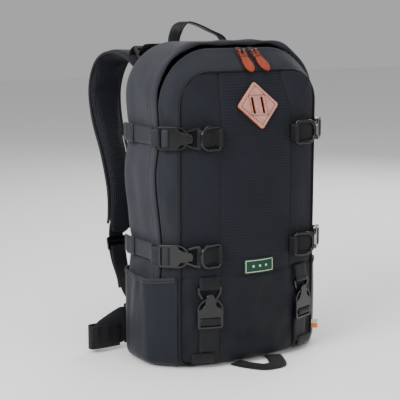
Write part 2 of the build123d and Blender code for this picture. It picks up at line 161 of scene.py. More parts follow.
def smooth_path(points, step=2.0):
    """Even points along a smooth curve through the given ones."""
    pts = [Vector(p) for p in points]
    ends = [pts[0] * 2 - pts[1]] + pts + [pts[-1] * 2 - pts[-2]]
    fine = []
    for a, b, c, d in zip(ends, ends[1:], ends[2:], ends[3:]):
        for i in range(12):
            t = i / 12
            fine.append(0.5 * ((2 * b) + (c - a) * t + (2 * a - 5 * b + 4 * c - d) * t * t
                               + (3 * b - a - 3 * c + d) * t ** 3))
    fine.append(pts[-1])
    run = [0.0]
    for a, b in zip(fine, fine[1:]):
        run.append(run[-1] + (b - a).length)
    rows = np.array([tuple(p) for p in fine])
    places = np.linspace(0, run[-1], max(2, int(run[-1] / step) + 1))
    return [Vector(read_off(x, run, rows)) for x in places]


def heading(points, i):
    """Direction of a path at its point i."""
    return points[min(i + 1, len(points) - 1)] - points[max(i - 1, 0)]


def circle_steps(count):
    return [2 * math.pi * k / count for k in range(count)]


def oblong(angle, wide, tall, square_x, square_y):
    """Point of a rounded oblong; the lower the two powers, the squarer it is."""
    c, s = math.cos(angle), math.sin(angle)
    return math.copysign(abs(c) ** square_x, c) * wide / 2, math.copysign(abs(s) ** square_y, s) * tall / 2


# ---------------------------------------------------------------- materials
class Shader:
    """A principled material with a few helpers for procedural detail."""

    def __init__(self, name, color, rough, **values):
        self.material = bpy.data.materials.new(name)
        self.material.use_nodes = True
        self.material.diffuse_color = (*color, 1)
        self.tree = self.material.node_tree
        self.inputs = self.tree.nodes["Principled BSDF"].inputs
        self.inputs["Base Color"].default_value = (*color, 1)
        self.inputs["Roughness"].default_value = rough
        for key, value in values.items():
            self.inputs[key.replace("_", " ")].default_value = value

    def node(self, kind, **inputs):
        node = self.tree.nodes.new(kind)
        for key, value in inputs.items():
            self.set(node.inputs[key.replace("_", " ")], value)
        return node

    def set(self, socket, value):
        if isinstance(value, bpy.types.NodeSocket):
            self.tree.links.new(value, socket)
        else:
            socket.default_value = value

    def math(self, operation, a, b=0.0, c=0.0):
        node = self.tree.nodes.new("ShaderNodeMath")
        node.operation = operation
        for socket, value in zip(node.inputs, (a, b, c)):
            self.set(socket, value)
        return node.outputs[0]

    def times(self, a, b):
        return self.math("MULTIPLY", a, b)

    def scale(self, value, factor, shift):
        return self.math("MULTIPLY_ADD", value, factor, shift)

    def coord(self, uv):
        return self.tree.nodes.new("ShaderNodeTexCoord").outputs["UV" if uv else "Object"]

    def wave(self, coordinate, pitch_mm):
        """0 to 1 stripes of that pitch along a coordinate in metres."""
        angle = self.times(coordinate, 2 * math.pi / (pitch_mm * MM))
        return self.scale(self.math("SINE", angle), 0.5, 0.5)

    def noise(self, vector, size_mm, detail=2.0):
        node = self.node("ShaderNodeTexNoise", Vector=vector, Scale=1 / (size_mm * MM), Detail=detail)
        return node.outputs["Fac"]

    def cells(self, vector, size_mm, randomness=1.0):
        node = self.node("ShaderNodeTexVoronoi", Vector=vector, Scale=1 / (size_mm * MM),
                         Randomness=randomness)
        return node.outputs["Distance"]

    def ramp(self, factor, start, end):
        return self.node("ShaderNodeMapRange", Value=factor, From_Min=start, From_Max=end).outputs[0]

    def shade(self, factor, color, dark, light):
        """Base colour between two strengths of one colour."""
        node = self.tree.nodes.new("ShaderNodeMix")
        node.data_type = "RGBA"
        first, second = node.inputs[6], node.inputs[7]
        self.set(node.inputs[0], factor)
        self.set(first, (*(c * dark for c in color), 1))
        self.set(second, (*(c * light for c in color), 1))
        self.set(self.inputs["Base Color"], node.outputs[2])

    def roughness(self, value):
        self.set(self.inputs["Roughness"], value)

    def height(self, value, depth_mm, strength):
        node = self.node("ShaderNodeBump", Height=value, Distance=depth_mm * MM, Strength=strength)
        self.set(self.inputs["Normal"], node.outputs[0])


# Weave: main threads along, cross threads along, pitch of the cross threads, their share.
WEAVES = {
    "twill": ("slant", "x_to_y", 0.7, 0.4),
    "rib": ("y", "y_to_x", 0.6, 0.25),
    "web": ("y", "y_to_x", 2.2, 0.5),
    "stretch": ("x", "x_to_y", 2, 0.3),
}


def weave_height(s, at, weave, pitch, uv):
    """Height of the threads, 0 to 1."""
    x, y, z = s.node("ShaderNodeSeparateXYZ", Vector=at).outputs
    if weave in WEAVES:
        main, cross, cross_pitch, share = WEAVES[weave]
        line = s.scale(y, 0.8, x) if main == "slant" else (x if main == "x" else y)
        other = s.wave(y if cross == "x_to_y" else x, pitch * cross_pitch)
        return s.times(s.wave(line, pitch), s.scale(other, share, 1 - share))
    if weave == "mesh":
        return s.ramp(s.cells(at, pitch, 0.15), 0.15, 0.5)
    if uv:
        return s.times(s.wave(x, pitch), s.wave(y, pitch))
    return s.times(s.wave(s.math("ADD", x, y), pitch), s.wave(z, pitch))


def cloth(name, color, weave, pitch, depth, rough, fleck, sheen, uv=True):
    """Woven cloth: the weave's threads, flecks of lighter yarn and slow shading."""
    s = Shader(name, color, rough, Sheen_Weight=sheen, Sheen_Roughness=0.5, Specular_IOR_Level=0.2)
    at = s.coord(uv)
    threads = weave_height(s, at, weave, pitch, uv)
    yarn = s.noise(at, 1.1)
    tone = s.scale(s.ramp(yarn, 0.35, 0.75), fleck, s.times(threads, 0.45))
    tone = s.scale(s.ramp(s.noise(at, 45.0), 0.3, 0.7), 0.2, tone)
    s.shade(tone, color, 0.55, 2.1)
    s.height(s.scale(yarn, 0.4, threads), depth, 0.8)
    return s.material


def leather(name, color, rough=0.48):
    s = Shader(name, color, rough, Specular_IOR_Level=0.32, Coat_Weight=0.04)
    at = s.coord(uv=False)
    cloud = s.noise(at, 9.0, 4.0)
    s.shade(s.ramp(cloud, 0.3, 0.75), color, 0.8, 1.18)
    s.roughness(s.scale(cloud, 0.2, rough - 0.1))
    s.height(s.scale(cloud, 0.6, s.cells(at, 0.9)), 0.09, 0.7)
    return s.material


def plastic(name, color, rough):
    s = Shader(name, color, rough, Specular_IOR_Level=0.45)
    at = s.coord(uv=False)
    scuff = s.noise(at, 9.0, 4.0)
    s.shade(s.ramp(scuff, 0.5, 0.85), color, 1.0, 1.8)
    s.roughness(s.scale(scuff, 0.16, rough - 0.06))
    s.height(s.noise(at, 1.6), 0.02, 0.3)
    return s.material


# Cloths: name, colour, weave, pitch and depth of the threads in mm, roughness, strength of flecks, sheen.
CLOTHS = {
    "shell": ("heather_pack_cloth", (0.0166, 0.0180, 0.0228), "twill", 2.2, 0.3, 0.85, 0.75, 0.06),
    # gusset: its own grey twill darkened by painted shade, for the rain flap's shadow over it
    "gusset": ("gusset_twill", (0.0090, 0.0102, 0.0136), "twill", 2.4, 0.32, 0.85, 0.75, 0.06),
    "centre": ("front_rib_cloth", (0.0034, 0.0044, 0.0078), "rib", 4.2, 0.5, 0.7, 0.35, 0.03),
    "side": ("front_twill_cloth", (0.0046, 0.0057, 0.0092), "twill", 4.2, 0.5, 0.7, 0.35, 0.03),
    "lower": ("lower_front_cloth", (0.0036, 0.0045, 0.0070), "plain", 1.8, 0.25, 0.66, 0.45, 0.03),
    "lining": ("lining", (0.03, 0.031, 0.035), "plain", 1.2, 0.1, 0.7, 0.2, 0.12),
    "pocket": ("pocket_stretch_cloth", (0.0040, 0.0056, 0.0098), "stretch", 1.5, 0.1, 0.52, 0.25, 0.06),
    "elastic": ("pocket_elastic", (0.016, 0.0165, 0.019), "web", 1.6, 0.3, 0.7, 0.35, 0.05),
    "web": ("black_webbing", (0.0042, 0.0044, 0.0054), "web", 1.8, 0.4, 0.5, 0.3, 0.05),
    "web_pale": ("side_webbing", (0.0140, 0.0156, 0.0192), "web", 1.8, 0.4, 0.55, 0.35, 0.05),
    "binding": ("edge_binding", (0.009, 0.0092, 0.0102), "web", 1.4, 0.25, 0.6, 0.3, 0.05),
    "zip": ("zipper_tape", (0.0030, 0.0030, 0.0034), "web", 1.6, 0.5, 0.5, 0.1, 0.0),
    "label": ("label_green", (0.005, 0.036, 0.022), "rib", 0.8, 0.12, 0.6, 0.2, 0.0),
}
# Cloths on pieces without a flat pattern.
SOLID_CLOTHS = {
    "pad": ("padded_cloth", (0.0085, 0.0089, 0.0102), "plain", 2.0, 0.3, 0.85, 0.8, 0.05),
    "mesh": ("spacer_mesh", (0.0028, 0.0034, 0.0060), "mesh", 3.4, 0.9, 0.7, 0.2, 0.04),
    "label_line": ("label_cream", (0.55, 0.50, 0.36), "plain", 0.8, 0.12, 0.6, 0.2, 0.12),
    "tag": ("ribbon_orange", (0.55, 0.17, 0.03), "plain", 0.9, 0.12, 0.6, 0.2, 0.12),
    "thread": ("black_thread", (0.012, 0.012, 0.014), "plain", 0.6, 0.1, 0.5, 0.35, 0.05),
    "rust_thread": ("rust_thread", (0.11, 0.016, 0.008), "plain", 0.6, 0.1, 0.5, 0.35, 0.0),
}
MATERIALS = {
    **{key: cloth(*row) for key, row in CLOTHS.items()},
    **{key: cloth(*row, uv=False) for key, row in SOLID_CLOTHS.items()},
    "patch": leather("patch_leather", (0.405, 0.198, 0.160)),
    "patch_edge": leather("patch_edge_leather", (0.30, 0.060, 0.020)),
    "pull": leather("pull_leather", (0.235, 0.029, 0.006), 0.38),
    "pull_edge": leather("pull_edge_leather", (0.13, 0.017, 0.005), 0.3),
    "plastic": plastic("buckle_plastic", (0.0020, 0.0020, 0.0024), 0.19),
    "metal": plastic("slider_metal", (0.012, 0.012, 0.013), 0.25),
}


# ---------------------------------------------------------------- mesh helpers
def add(name, data, key=None):
    """New object, linked to the scene's collection; key is not used."""
    obj = bpy.data.objects.new(name, data)
    bpy.context.collection.objects.link(obj)
    return obj


def tie(obj, body=None, replaces=()):
    """Hide the CAD nodes a piece stands for, and parent the piece to the body it rides on."""
    if replaces:
        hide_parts(*replaces)
    if body:
        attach(obj, body)
    return obj


def listed(materials):
    return [materials] if isinstance(materials, str) else list(materials)


def make_smooth(mesh):
    mesh.polygons.foreach_set("use_smooth", [True] * len(mesh.polygons))


def piece(name, verts, faces, materials, uvs=None, slots=None):
    """Mesh object from points in mm; materials is one key or several, slots the index per face."""
    keys = listed(materials)
    mesh = bpy.data.meshes.new(name)
    mesh.from_pydata([tuple(c * MM for c in v) for v in verts], [], faces)
    for key in keys:
        mesh.materials.append(MATERIALS[key])
    if uvs is not None:
        layer = mesh.uv_layers.new(name="UVMap")
        index = np.empty(len(mesh.loops), dtype=np.int32)
        mesh.loops.foreach_get("vertex_index", index)
        layer.data.foreach_set("uv", (np.asarray(uvs, float)[index] * MM).ravel())
    if slots is not None:
        mesh.polygons.foreach_set("material_index", np.asarray(slots, dtype=np.int32))
    make_smooth(mesh)
    mesh.update()
    return add(name, mesh, keys[0])


def grid_faces(rows, columns, close_columns=False, close_rows=False):
    faces = []
    for r in range(rows if close_rows else rows - 1):
        for c in range(columns if close_columns else columns - 1):
            r1, c1 = (r + 1) % rows, (c + 1) % columns
            faces.append((r * columns + c, r * columns + c1, r1 * columns + c1, r1 * columns + c))
    return faces


def skin(count, ring, closed=False):
    """Faces over count rings of points, with flat ends unless the last ring meets the first."""
    faces = grid_faces(count, ring, True, closed)
    if not closed:
        faces.append(tuple(reversed(range(ring))))
        faces.append(tuple(range((count - 1) * ring, count * ring)))
    return faces


def tidy_normals(obj):
    bm = bmesh.new()
    bm.from_mesh(obj.data)
    bmesh.ops.recalc_face_normals(bm, faces=bm.faces)
    bm.to_mesh(obj.data)
    bm.free()


def loft(name, verts, ring, materials, uvs=None, closed=False):
    """Solid skinned over rings of points."""
    obj = piece(name, verts, skin(len(verts) // ring, ring, closed), materials, uvs)
    tidy_normals(obj)
    return obj


def apply_modifiers(obj):
    depsgraph = bpy.context.evaluated_depsgraph_get()
    mesh = bpy.data.meshes.new_from_object(obj.evaluated_get(depsgraph))
    obj.modifiers.clear()
    obj.data = mesh


def modify(obj, kind, **values):
    """Add a modifier and apply it."""
    mod = obj.modifiers.new(kind.lower(), kind)
    for key, value in values.items():
        setattr(mod, key, value)
    apply_modifiers(obj)


def read_points(obj):
    co = np.empty(len(obj.data.vertices) * 3)
    obj.data.vertices.foreach_get("co", co)
    return co.reshape(-1, 3)


def write_points(obj, points):
    obj.data.vertices.foreach_set("co", points.ravel())
    obj.data.update()


def sheet_grid(name, rows, uvs, materials, inside, thick, slots=None, close=False, lining=False):
    """Sewn cloth from rows of points, given thickness towards a point inside the bag."""
    points, uvs = np.array(rows), np.array(uvs)
    faces = grid_faces(*points.shape[:2], close_columns=close)
    flat = points.reshape(-1, 3)
    quad = np.array(faces)
    normal = np.cross(flat[quad[:, 2]] - flat[quad[:, 0]], flat[quad[:, 3]] - flat[quad[:, 1]])
    if (normal * (flat[quad].mean(axis=1) - np.asarray(inside))).sum() < 0:
        faces = [tuple(reversed(f)) for f in faces]
    keys = listed(materials) + (["lining"] if lining else [])
    obj = piece(name, flat, faces, keys, uvs.reshape(-1, 2), slots)
    offset = len(keys) - 1 if lining else 0
    modify(obj, "SOLIDIFY", thickness=thick * MM, offset=-1, material_offset=offset, use_rim=True)
    make_smooth(obj.data)
    return obj


def outward_normals(points, row, inside):
    """Unit normals of closed rows of points, away from a point inside."""
    around = np.roll(points, -1, axis=1) - np.roll(points, 1, axis=1)
    n = np.cross(around, np.gradient(points, axis=0))
    n = n / np.maximum(np.linalg.norm(n, axis=2, keepdims=True), 1e-9)
    return -n if (n[row] * (points[row] - inside)).sum() < 0 else n


WEB_EDGE = [(-0.5, -0.55), (-0.485, -0.95), (-0.25, -1), (0, -1), (0.25, -1), (0.485, -0.95), (0.5, -0.55)]
WEB_SECTION = WEB_EDGE + [(-a, -b) for a, b in WEB_EDGE]


def ribbon(name, path, across, width, material="web", thick=WEB_THICK, step=1.5, body=PACK, replaces=()):
    """Flat webbing along a smooth path. across is its width direction, or one direction per given point."""
    points = smooth_path(path, step)
    count = len(points)
    if isinstance(across, (tuple, Vector)):
        wide = [Vector(across).normalized()] * count
    else:
        rows = np.array([tuple(Vector(a).normalized()) for a in across])
        places = np.linspace(0, len(rows) - 1, count)
        wide = [Vector(read_off(x, range(len(rows)), rows)).normalized() for x in places]
    verts, uvs, run = [], [], 0.0
    for i, point in enumerate(points):
        ahead = heading(points, i)
        normal = ahead.cross(wide[i]).normalized()
        w = normal.cross(ahead).normalized()
        if i:
            run += (point - points[i - 1]).length
        for a, b in WEB_SECTION:
            verts.append(point + w * (a * width) + normal * (b * thick / 2))
            uvs.append((a * width, run))
    return tie(loft(name, verts, len(WEB_SECTION), material, uvs), body, replaces)


def tube(name, path, radius, material, body=PACK, sides=8, closed=False, step=2.5):
    """Round bead along a path, for piping, seams and bindings; a closed path is taken as it is."""
    points = [Vector(p) for p in path] if closed else smooth_path(path, step)
    count = len(points)
    verts, uvs, run = [], [], 0.0
    normal = None
    for i, point in enumerate(points):
        t = (points[(i + 1) % count] - points[i - 1] if closed else heading(points, i)).normalized()
        if normal is None:
            normal = t.orthogonal().normalized()
        normal = (normal - t * normal.dot(t)).normalized()
        side = t.cross(normal)
        if i:
            run += (point - points[i - 1]).length
        for a in circle_steps(sides):
            verts.append(point + (normal * math.cos(a) + side * math.sin(a)) * radius)
            uvs.append((radius * a, run))
    return tie(loft(name, verts, sides, material, uvs, closed), body)


STITCH_RINGS = ((-1.0, 0.15), (-0.6, 0.85), (0.0, 1.0), (0.6, 0.85), (1.0, 0.15))
STITCH_SIDES = 6


def stitches(name, runs, material="thread", body=PACK, pitch=2.2, length=1.9, radius=0.4):
    """Rows of single stitches; runs is a list of (path, normal)."""
    verts, faces = [], []
    for path, normal in runs:
        points = smooth_path(path, pitch)
        for a, b in zip(points, points[1:]):
            t = (b - a).normalized()
            n = (Vector(normal) - t * Vector(normal).dot(t)).normalized()
            side = t.cross(n)
            base = len(verts)
            for along, size in STITCH_RINGS:
                for ang in circle_steps(STITCH_SIDES):
                    verts.append((a + b) / 2 + t * (along * length / 2)
                                 + (n * math.cos(ang) + side * math.sin(ang)) * radius * size)
            faces += [tuple(base + v for v in face) for face in skin(len(STITCH_RINGS), STITCH_SIDES)]
    obj = piece(name, verts, faces, material)
    tidy_normals(obj)
    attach(obj, body)


def plate(name, outlines, thick, bevel, matrix, materials):
    """Flat plate with rounded rims from closed outlines in mm (holes included), front face first material."""
    curve = bpy.data.curves.new(name, "CURVE")
    curve.dimensions = "2D"
    curve.fill_mode = "BOTH"
    curve.extrude = (thick / 2 - bevel) * MM
    curve.bevel_depth = bevel * MM
    curve.bevel_resolution = 3
    curve.offset = -bevel * MM
    for outline in outlines:
        spline = curve.splines.new("POLY")
        spline.points.add(len(outline) - 1)
        for point, (x, y) in zip(spline.points, outline):
            point.co = (x * MM, y * MM, 0, 1)
        spline.use_cyclic_u = True
    holder = add(name + "_curve", curve)
    mesh = bpy.data.meshes.new_from_object(holder.evaluated_get(bpy.context.evaluated_depsgraph_get()))
    bpy.data.objects.remove(holder)
    bpy.data.curves.remove(curve)
    mesh.name = name
    place = matrix.copy()
    place.translation = place.translation * MM
    mesh.transform(place)
    keys = listed(materials)
    mesh.materials.clear()
    for key in keys:
        mesh.materials.append(MATERIALS[key])
    facing = place.to_3x3() @ Vector(UP)
    bm = bmesh.new()
    bm.from_mesh(mesh)
    bmesh.ops.remove_doubles(bm, verts=bm.verts, dist=1e-6)
    bmesh.ops.recalc_face_normals(bm, faces=bm.faces)
    for face in bm.faces:
        face.smooth = abs(face.normal.dot(facing)) < 0.99
        face.material_index = 0 if face.normal.dot(facing) > 0.8 or len(keys) == 1 else 1
    bm.to_mesh(mesh)
    bm.free()
    return add(name, mesh, keys[0])


def frame_matrix(origin, x_dir, z_dir):
    """Matrix (translation in mm) of a plane given like a CAD drawing plane."""
    x = Vector(x_dir).normalized()
    z = Vector(z_dir).normalized()
    m = Matrix((x, z.cross(x), z)).transposed().to_4x4()
    m.translation = Vector(origin)
    return m


def on_plane(matrix, x, y, lift=0.0):
    return matrix @ Vector((x, y, lift))


def rounded(points, radius, steps=6):
    """Closed outline with its corners rounded."""
    out = []
    for i, p in enumerate(points):
        p = Vector(p)
        a = (Vector(points[i - 1]) - p).normalized()
        b = (Vector(points[(i + 1) % len(points)]) - p).normalized()
        half = a.angle(b) / 2
        cut = radius / math.tan(half)
        centre = p + (a + b).normalized() * (radius / math.sin(half))
        start, end = p + a * cut - centre, p + b * cut - centre
        for k in range(steps + 1):
            out.append(tuple(centre + start.slerp(end, k / steps) * radius))
    return out


def ring_of(width, tall, radius, centre=(0, 0)):
    """Rounded rectangle outline."""
    w, t = width / 2, tall / 2
    cx, cy = centre
    return rounded([(cx - w, cy - t), (cx + w, cy - t), (cx + w, cy + t), (cx - w, cy + t)], radius)


def right_twin(obj, body=PACK, replaces=()):
    """Mirror image of a finished left piece."""
    mesh = obj.data.copy()
    mesh.name = obj.name.replace("left", "right")
    mesh.transform(Matrix.Scale(-1, 4, (1, 0, 0)))
    mesh.flip_normals()
    return tie(add(mesh.name, mesh), body, replaces)


CLOTH_SETTINGS = {"use_pressure": True, "uniform_pressure_force": 4.0, "quality": 4, "tension_stiffness": 20,
                  "compression_stiffness": 20, "bending_stiffness": 2}
CLOTH_FRAMES = 20


def swell(obj, voxel, cap):
    """Blow a padded piece up as cloth: remesh, inflate without gravity, limit the movement."""
    modify(obj, "REMESH", mode="VOXEL", voxel_size=voxel * MM, use_smooth_shade=True)
    start = read_points(obj)
    mod = obj.modifiers.new("cloth", "CLOTH")
    for key, value in CLOTH_SETTINGS.items():
        setattr(mod.settings, key, value)
    mod.settings.effector_weights.gravity = 0
    scene = bpy.context.scene
    for f in range(1, CLOTH_FRAMES + 1):
        scene.frame_set(f)
    apply_modifiers(obj)
    scene.frame_set(1)
    move = read_points(obj) - start
    size = np.linalg.norm(move, axis=1, keepdims=True)
    write_points(obj, start + move * np.minimum(1, cap * MM / np.maximum(size, 1e-9)))
    modify(obj, "SMOOTH", factor=0.5, iterations=3)
    modify(obj, "SUBSURF", levels=1, render_levels=1)
    make_smooth(obj.data)


# ---------------------------------------------------------------- outlines of the bag
SWELL = ((15, 2.0), (80, 1.0), (LOWER_Z, -6.0), (285, 4.0), (UPPER_Z, -3.0), (390, 0.0))
FOOT = 15.0


def outline(half, top, corner, base=0.0, waist=1.0, inset=0.0):
    """Closed outline from the middle of the base round by +X: arrays of x, z and of length along it."""
    half, top, base, corner = half - inset, top - inset, base + inset, corner - inset
    foot_x = half + waist * float(knots(base + FOOT, SWELL))
    low_bend = np.linspace(-math.pi / 2, 0, 6, endpoint=False)
    side_z = np.linspace(base + FOOT, top - corner, 96, endpoint=False)
    high_bend = np.linspace(0, math.pi / 2, 30, endpoint=False)
    x = np.concatenate([np.linspace(0, foot_x - FOOT, 26, endpoint=False),
                        foot_x - FOOT + FOOT * np.cos(low_bend),
                        half + waist * knots(side_z, SWELL), half - corner + corner * np.cos(high_bend),
                        np.linspace(half - corner, 0, 18, endpoint=False)])
    z = np.concatenate([np.full(26, base), base + FOOT + FOOT * np.sin(low_bend), side_z,
                        top - corner + corner * np.sin(high_bend), np.full(18, top)])
    x = np.concatenate([x, [0.0], -x[:0:-1]])
    z = np.concatenate([z, [top], z[:0:-1]])
    run = np.concatenate([[0], np.cumsum(np.hypot(np.diff(x), np.diff(z)))])
    return x, z, run


def drawn_in(x, z, inset):
    """Outline shrunk by inset towards the middle of the bag."""
    length = np.maximum(np.hypot(x, z - MID_Z), 1)
    return x - inset * x / length, z - inset * (z - MID_Z) / length


def body_row(y, inset):
    """One outline of the main body at depth y, drawn in by inset, turning in towards the back."""
    t = np.clip((y - BACK_TURN_Y) / (REAR_Y - BACK_TURN_Y), 0, 1)
    turn = BACK_ROUND * (1 - np.sqrt(1 - (0.98 * t) ** 2))
    return outline(BODY_HALF - turn, BODY_TOP - turn, BODY_CORNER - 0.8 * turn, base=0.55 * turn, inset=inset)


def at_straps(z, width):
    """1 at the levels of the compression straps, 0 away from them."""
    return bump(z, UPPER_Z, width) + bump(z, LOWER_Z, width)


# ---------------------------------------------------------------- main body
# The rain flap's roll: distance behind its front edge, and how far it is drawn in.
RIM_ROLL = ((7, 4.6), (2, 4.0), (-0.8, 2.6), (-1.9, 0.8), (-1.5, -0.7), (0.2, -1.5), (4, -1.9), (8, -1.8),
            (11, -1.4), (12.4, 0.5), (13.4, 0.9), (14.6, -0.2))


def main_shell():
    """Outer cloth of the main body with its rolled rain flap round the zipper, up to the back seam."""
    sections = [(RIM_Y + back, inset) for back, inset in RIM_ROLL]
    sections += [(y, 0.0) for y in np.linspace(RIM_Y + 17, BACK_TURN_Y, 18)]
    sections += [(y, 0.0) for y in np.linspace(48.5, REAR_Y - 1.5, 10)]
    sections += [(REAR_Y - 0.4, 0.8), (REAR_Y - 0.2, 3.0), (REAR_Y - 0.6, 6.0)]
    rows, uvs = [], []
    for y, inset in sections:
        x, z, run = body_row(y, inset)
        rows.append(stack(x, y, z))
        uvs.append(stack(y, run))
    points = np.array(rows)
    inside = (0, 20, MID_Z)
    normal = outward_normals(points, 20, inside)
    x, y, z = points[..., 0], points[..., 1], points[..., 2]
    side = ease((np.abs(x) - 95) / 30) * ease((z - 30) / 40) * ease((BODY_TOP - 10 - z) / 60)
    free = ease((y - RIM_Y - 15) / 12) * ease((REAR_Y - y) / 14)
    calm = (1 - 0.5 * at_straps(z, 24)) * (0.6 + 0.4 * ease((z - 150) / 30))
    folds = (1.5 * ripple(points, (110, 60, 150), 3) + 0.8 * ripple(points, (46, 30, 70), 4)) * calm
    crease = 0.7 * ripple(points, (60, 26, 500), 8) * ease((z - 300) / 60)
    tuck = ripple(points, (30, 13, 30), 5) * at_straps(z, 24) * 0.7
    sag = -3.0 * ease((z - BODY_TOP + 12) / 10) * bump(x, 10, 60) * bump(y, 20, 26)
    rim_wave = 1.6 * ripple(points, (55, 60, 60), 6) * (1 - ease((y - RIM_Y - 8) / 22)) * ease((z - 380) / 50)
    pinch = 2.2 * at_straps(z, 15) * ease((y - RIM_Y) / 20)
    push = (side * (free * (folds + crease + tuck) - pinch) + sag + rim_wave) * ease((z - 1) / 14)
    points = points + normal * push[..., None]
    points[..., 2] = np.maximum(points[..., 2], 0.15)
    shell = sheet_grid("body_shell", points, uvs, "shell", inside, 2.2, close=True, lining=True)
    tie(shell, PACK, ("top_panel", "bottom_panel", "side_panel_left", "side_panel_right"))


def rim_seam():
    """Raised edge of the rain flap and the piped seam round the back panel."""
    y = RIM_Y + 12.9
    x, z, _ = body_row(y, 0.2)
    tube("rain_flap_seam", [(a, y, c) for a, c in zip(x[32:-31:3], z[32:-31:3])], 0.55, "thread")
    x, z, _ = body_row(REAR_Y - 0.5, 1.6)
    path = [(a, REAR_Y - 0.2, max(c, 1.8)) for a, c in zip(x[::2], z[::2])]
    tube("back_piping", path, 1.6, "binding", closed=True)


def back_face():
    """Mesh-covered back panel inside the rear seam."""
    rows, uvs = [], []
    x0, z0, _ = body_row(REAR_Y, 2.0)
    for k in np.linspace(1.0, 0.0, 26):
        x, z = x0 * k, MID_Z + (z0 - MID_Z) * k
        rows.append(stack(x, REAR_Y - 1.0 + 1.2 * np.sqrt(max(0.0, 1 - k ** 6)), z))
        uvs.append(stack(x, z))
    face = sheet_grid("back_face", rows, uvs, "mesh", (0, 0, MID_Z), 1.5, close=True)
    tie(face, PACK, ("rear_panel",))


# ---------------------------------------------------------------- front module
def pipe_half(z):
    """Half width of the piped front panel at height z."""
    z = np.asarray(z, float)
    foot = np.clip((FRONT_LOW + FOOT - z) / FOOT, 0, 1)
    head = np.clip((z - PIPE_TOP + PIPE_CORNER) / PIPE_CORNER, 0, 1)
    return PIPE_HALF - FOOT * (1 - np.sqrt(1 - foot ** 2)) - PIPE_CORNER * (1 - np.sqrt(1 - head ** 2))


def face_depth(x, z):
    """How far the front stands forward of the piping, before seams and folds."""
    x, z = np.asarray(x, float), np.asarray(z, float)
    round_part = np.sqrt(np.maximum(CROWN_RADIUS ** 2 - x ** 2, 0)) - (CROWN_RADIUS - CROWN)
    lean_part = CROWN - np.maximum(z - LEAN_START, -40) * math.tan(LEAN)
    k = 5.0
    mix = np.clip(0.5 + 0.5 * (lean_part - round_part) / k, 0, 1)
    return lean_part * (1 - mix) + round_part * mix - k * mix * (1 - mix) * 0.5


def seam_curve(z):
    """Distance of the two upright seams from the middle: straight, then drawn in at the top."""
    return SEAM_X - 7.0 * ease((np.asarray(z, float) - 372) / 60)


def face_push(x, z):
    """How far seams, folds and stuffing move the front cloth in or out of its plain shape, in mm."""
    x, z = np.asarray(x, float), np.asarray(z, float)
    place = stack(x, 0.0, z)
    edge = ease((pipe_half(np.minimum(z, PIPE_TOP)) - np.abs(x)) / 14) * ease((PIPE_TOP + 1 - z) / 12)
    seam = seam_curve(z)
    above = ease((z - SEAM_Z) / 4)
    upright = np.exp(-np.abs(np.abs(x) - seam) / 1.7) * above
    level = np.exp(-np.abs(z - SEAM_Z) / 1.7)
    calm = 1 - bump(x, 0, 34) * bump(z, PATCH_Z, 34)
    for side, _ in SIDES:
        calm = calm * (1 - 0.9 * bump(x, middle("lash_buckle_" + side).x, 20) * (1 - above))
    pillow = 1.5 * np.cos(np.clip(np.abs(x) / seam, 0, 1) * math.pi / 2) * above
    low_puff = 2.4 * bump(z, 66, 52) * (1 - above)
    folds = 0.8 * ripple(place, (90, 50, 110), 11) + 0.4 * ripple(place, (34, 30, 60), 12)
    creases = (2.3 * ripple(place, (60, 40, 30), 13) + 1.7 * ripple(place, (24, 30, 44), 14)) * (1 - above)
    creases = creases * ease((z - FRONT_LOW) / 26)
    pulls = at_straps(z, 13) * ease((np.abs(x) - 66) / 20) * 2.0
    push = edge * ((folds + creases + pillow + low_puff) * calm - pulls + 0.5 * calm)
    swelling = 0.8 * bump(z, SEAM_Z - 9, 8) + 0.5 * bump(z, SEAM_Z + 9, 8)
    return push + edge * calm * swelling - 2.2 * upright - 2.6 * level


def face_y(x, z):
    return PIPE_Y - float(face_depth(x, z)) - float(face_push(x, z))


def face_point(x, z, lift=0.0):
    """Point on the front face, standing lift mm off it."""
    e = 4.0
    gx = (face_y(x + e, z) - face_y(x - e, z)) / (2 * e)
    gz = (face_y(x, z + e) - face_y(x, z - e)) / (2 * e)
    return Vector((x, face_y(x, z), z)) + Vector((gx, -1, gz)).normalized() * lift


def fold(obj, replaces=()):
    """Hide the CAD nodes a front piece stands for and bake its placement into its mesh, on no body."""
    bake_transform(tie(obj, None, replaces))


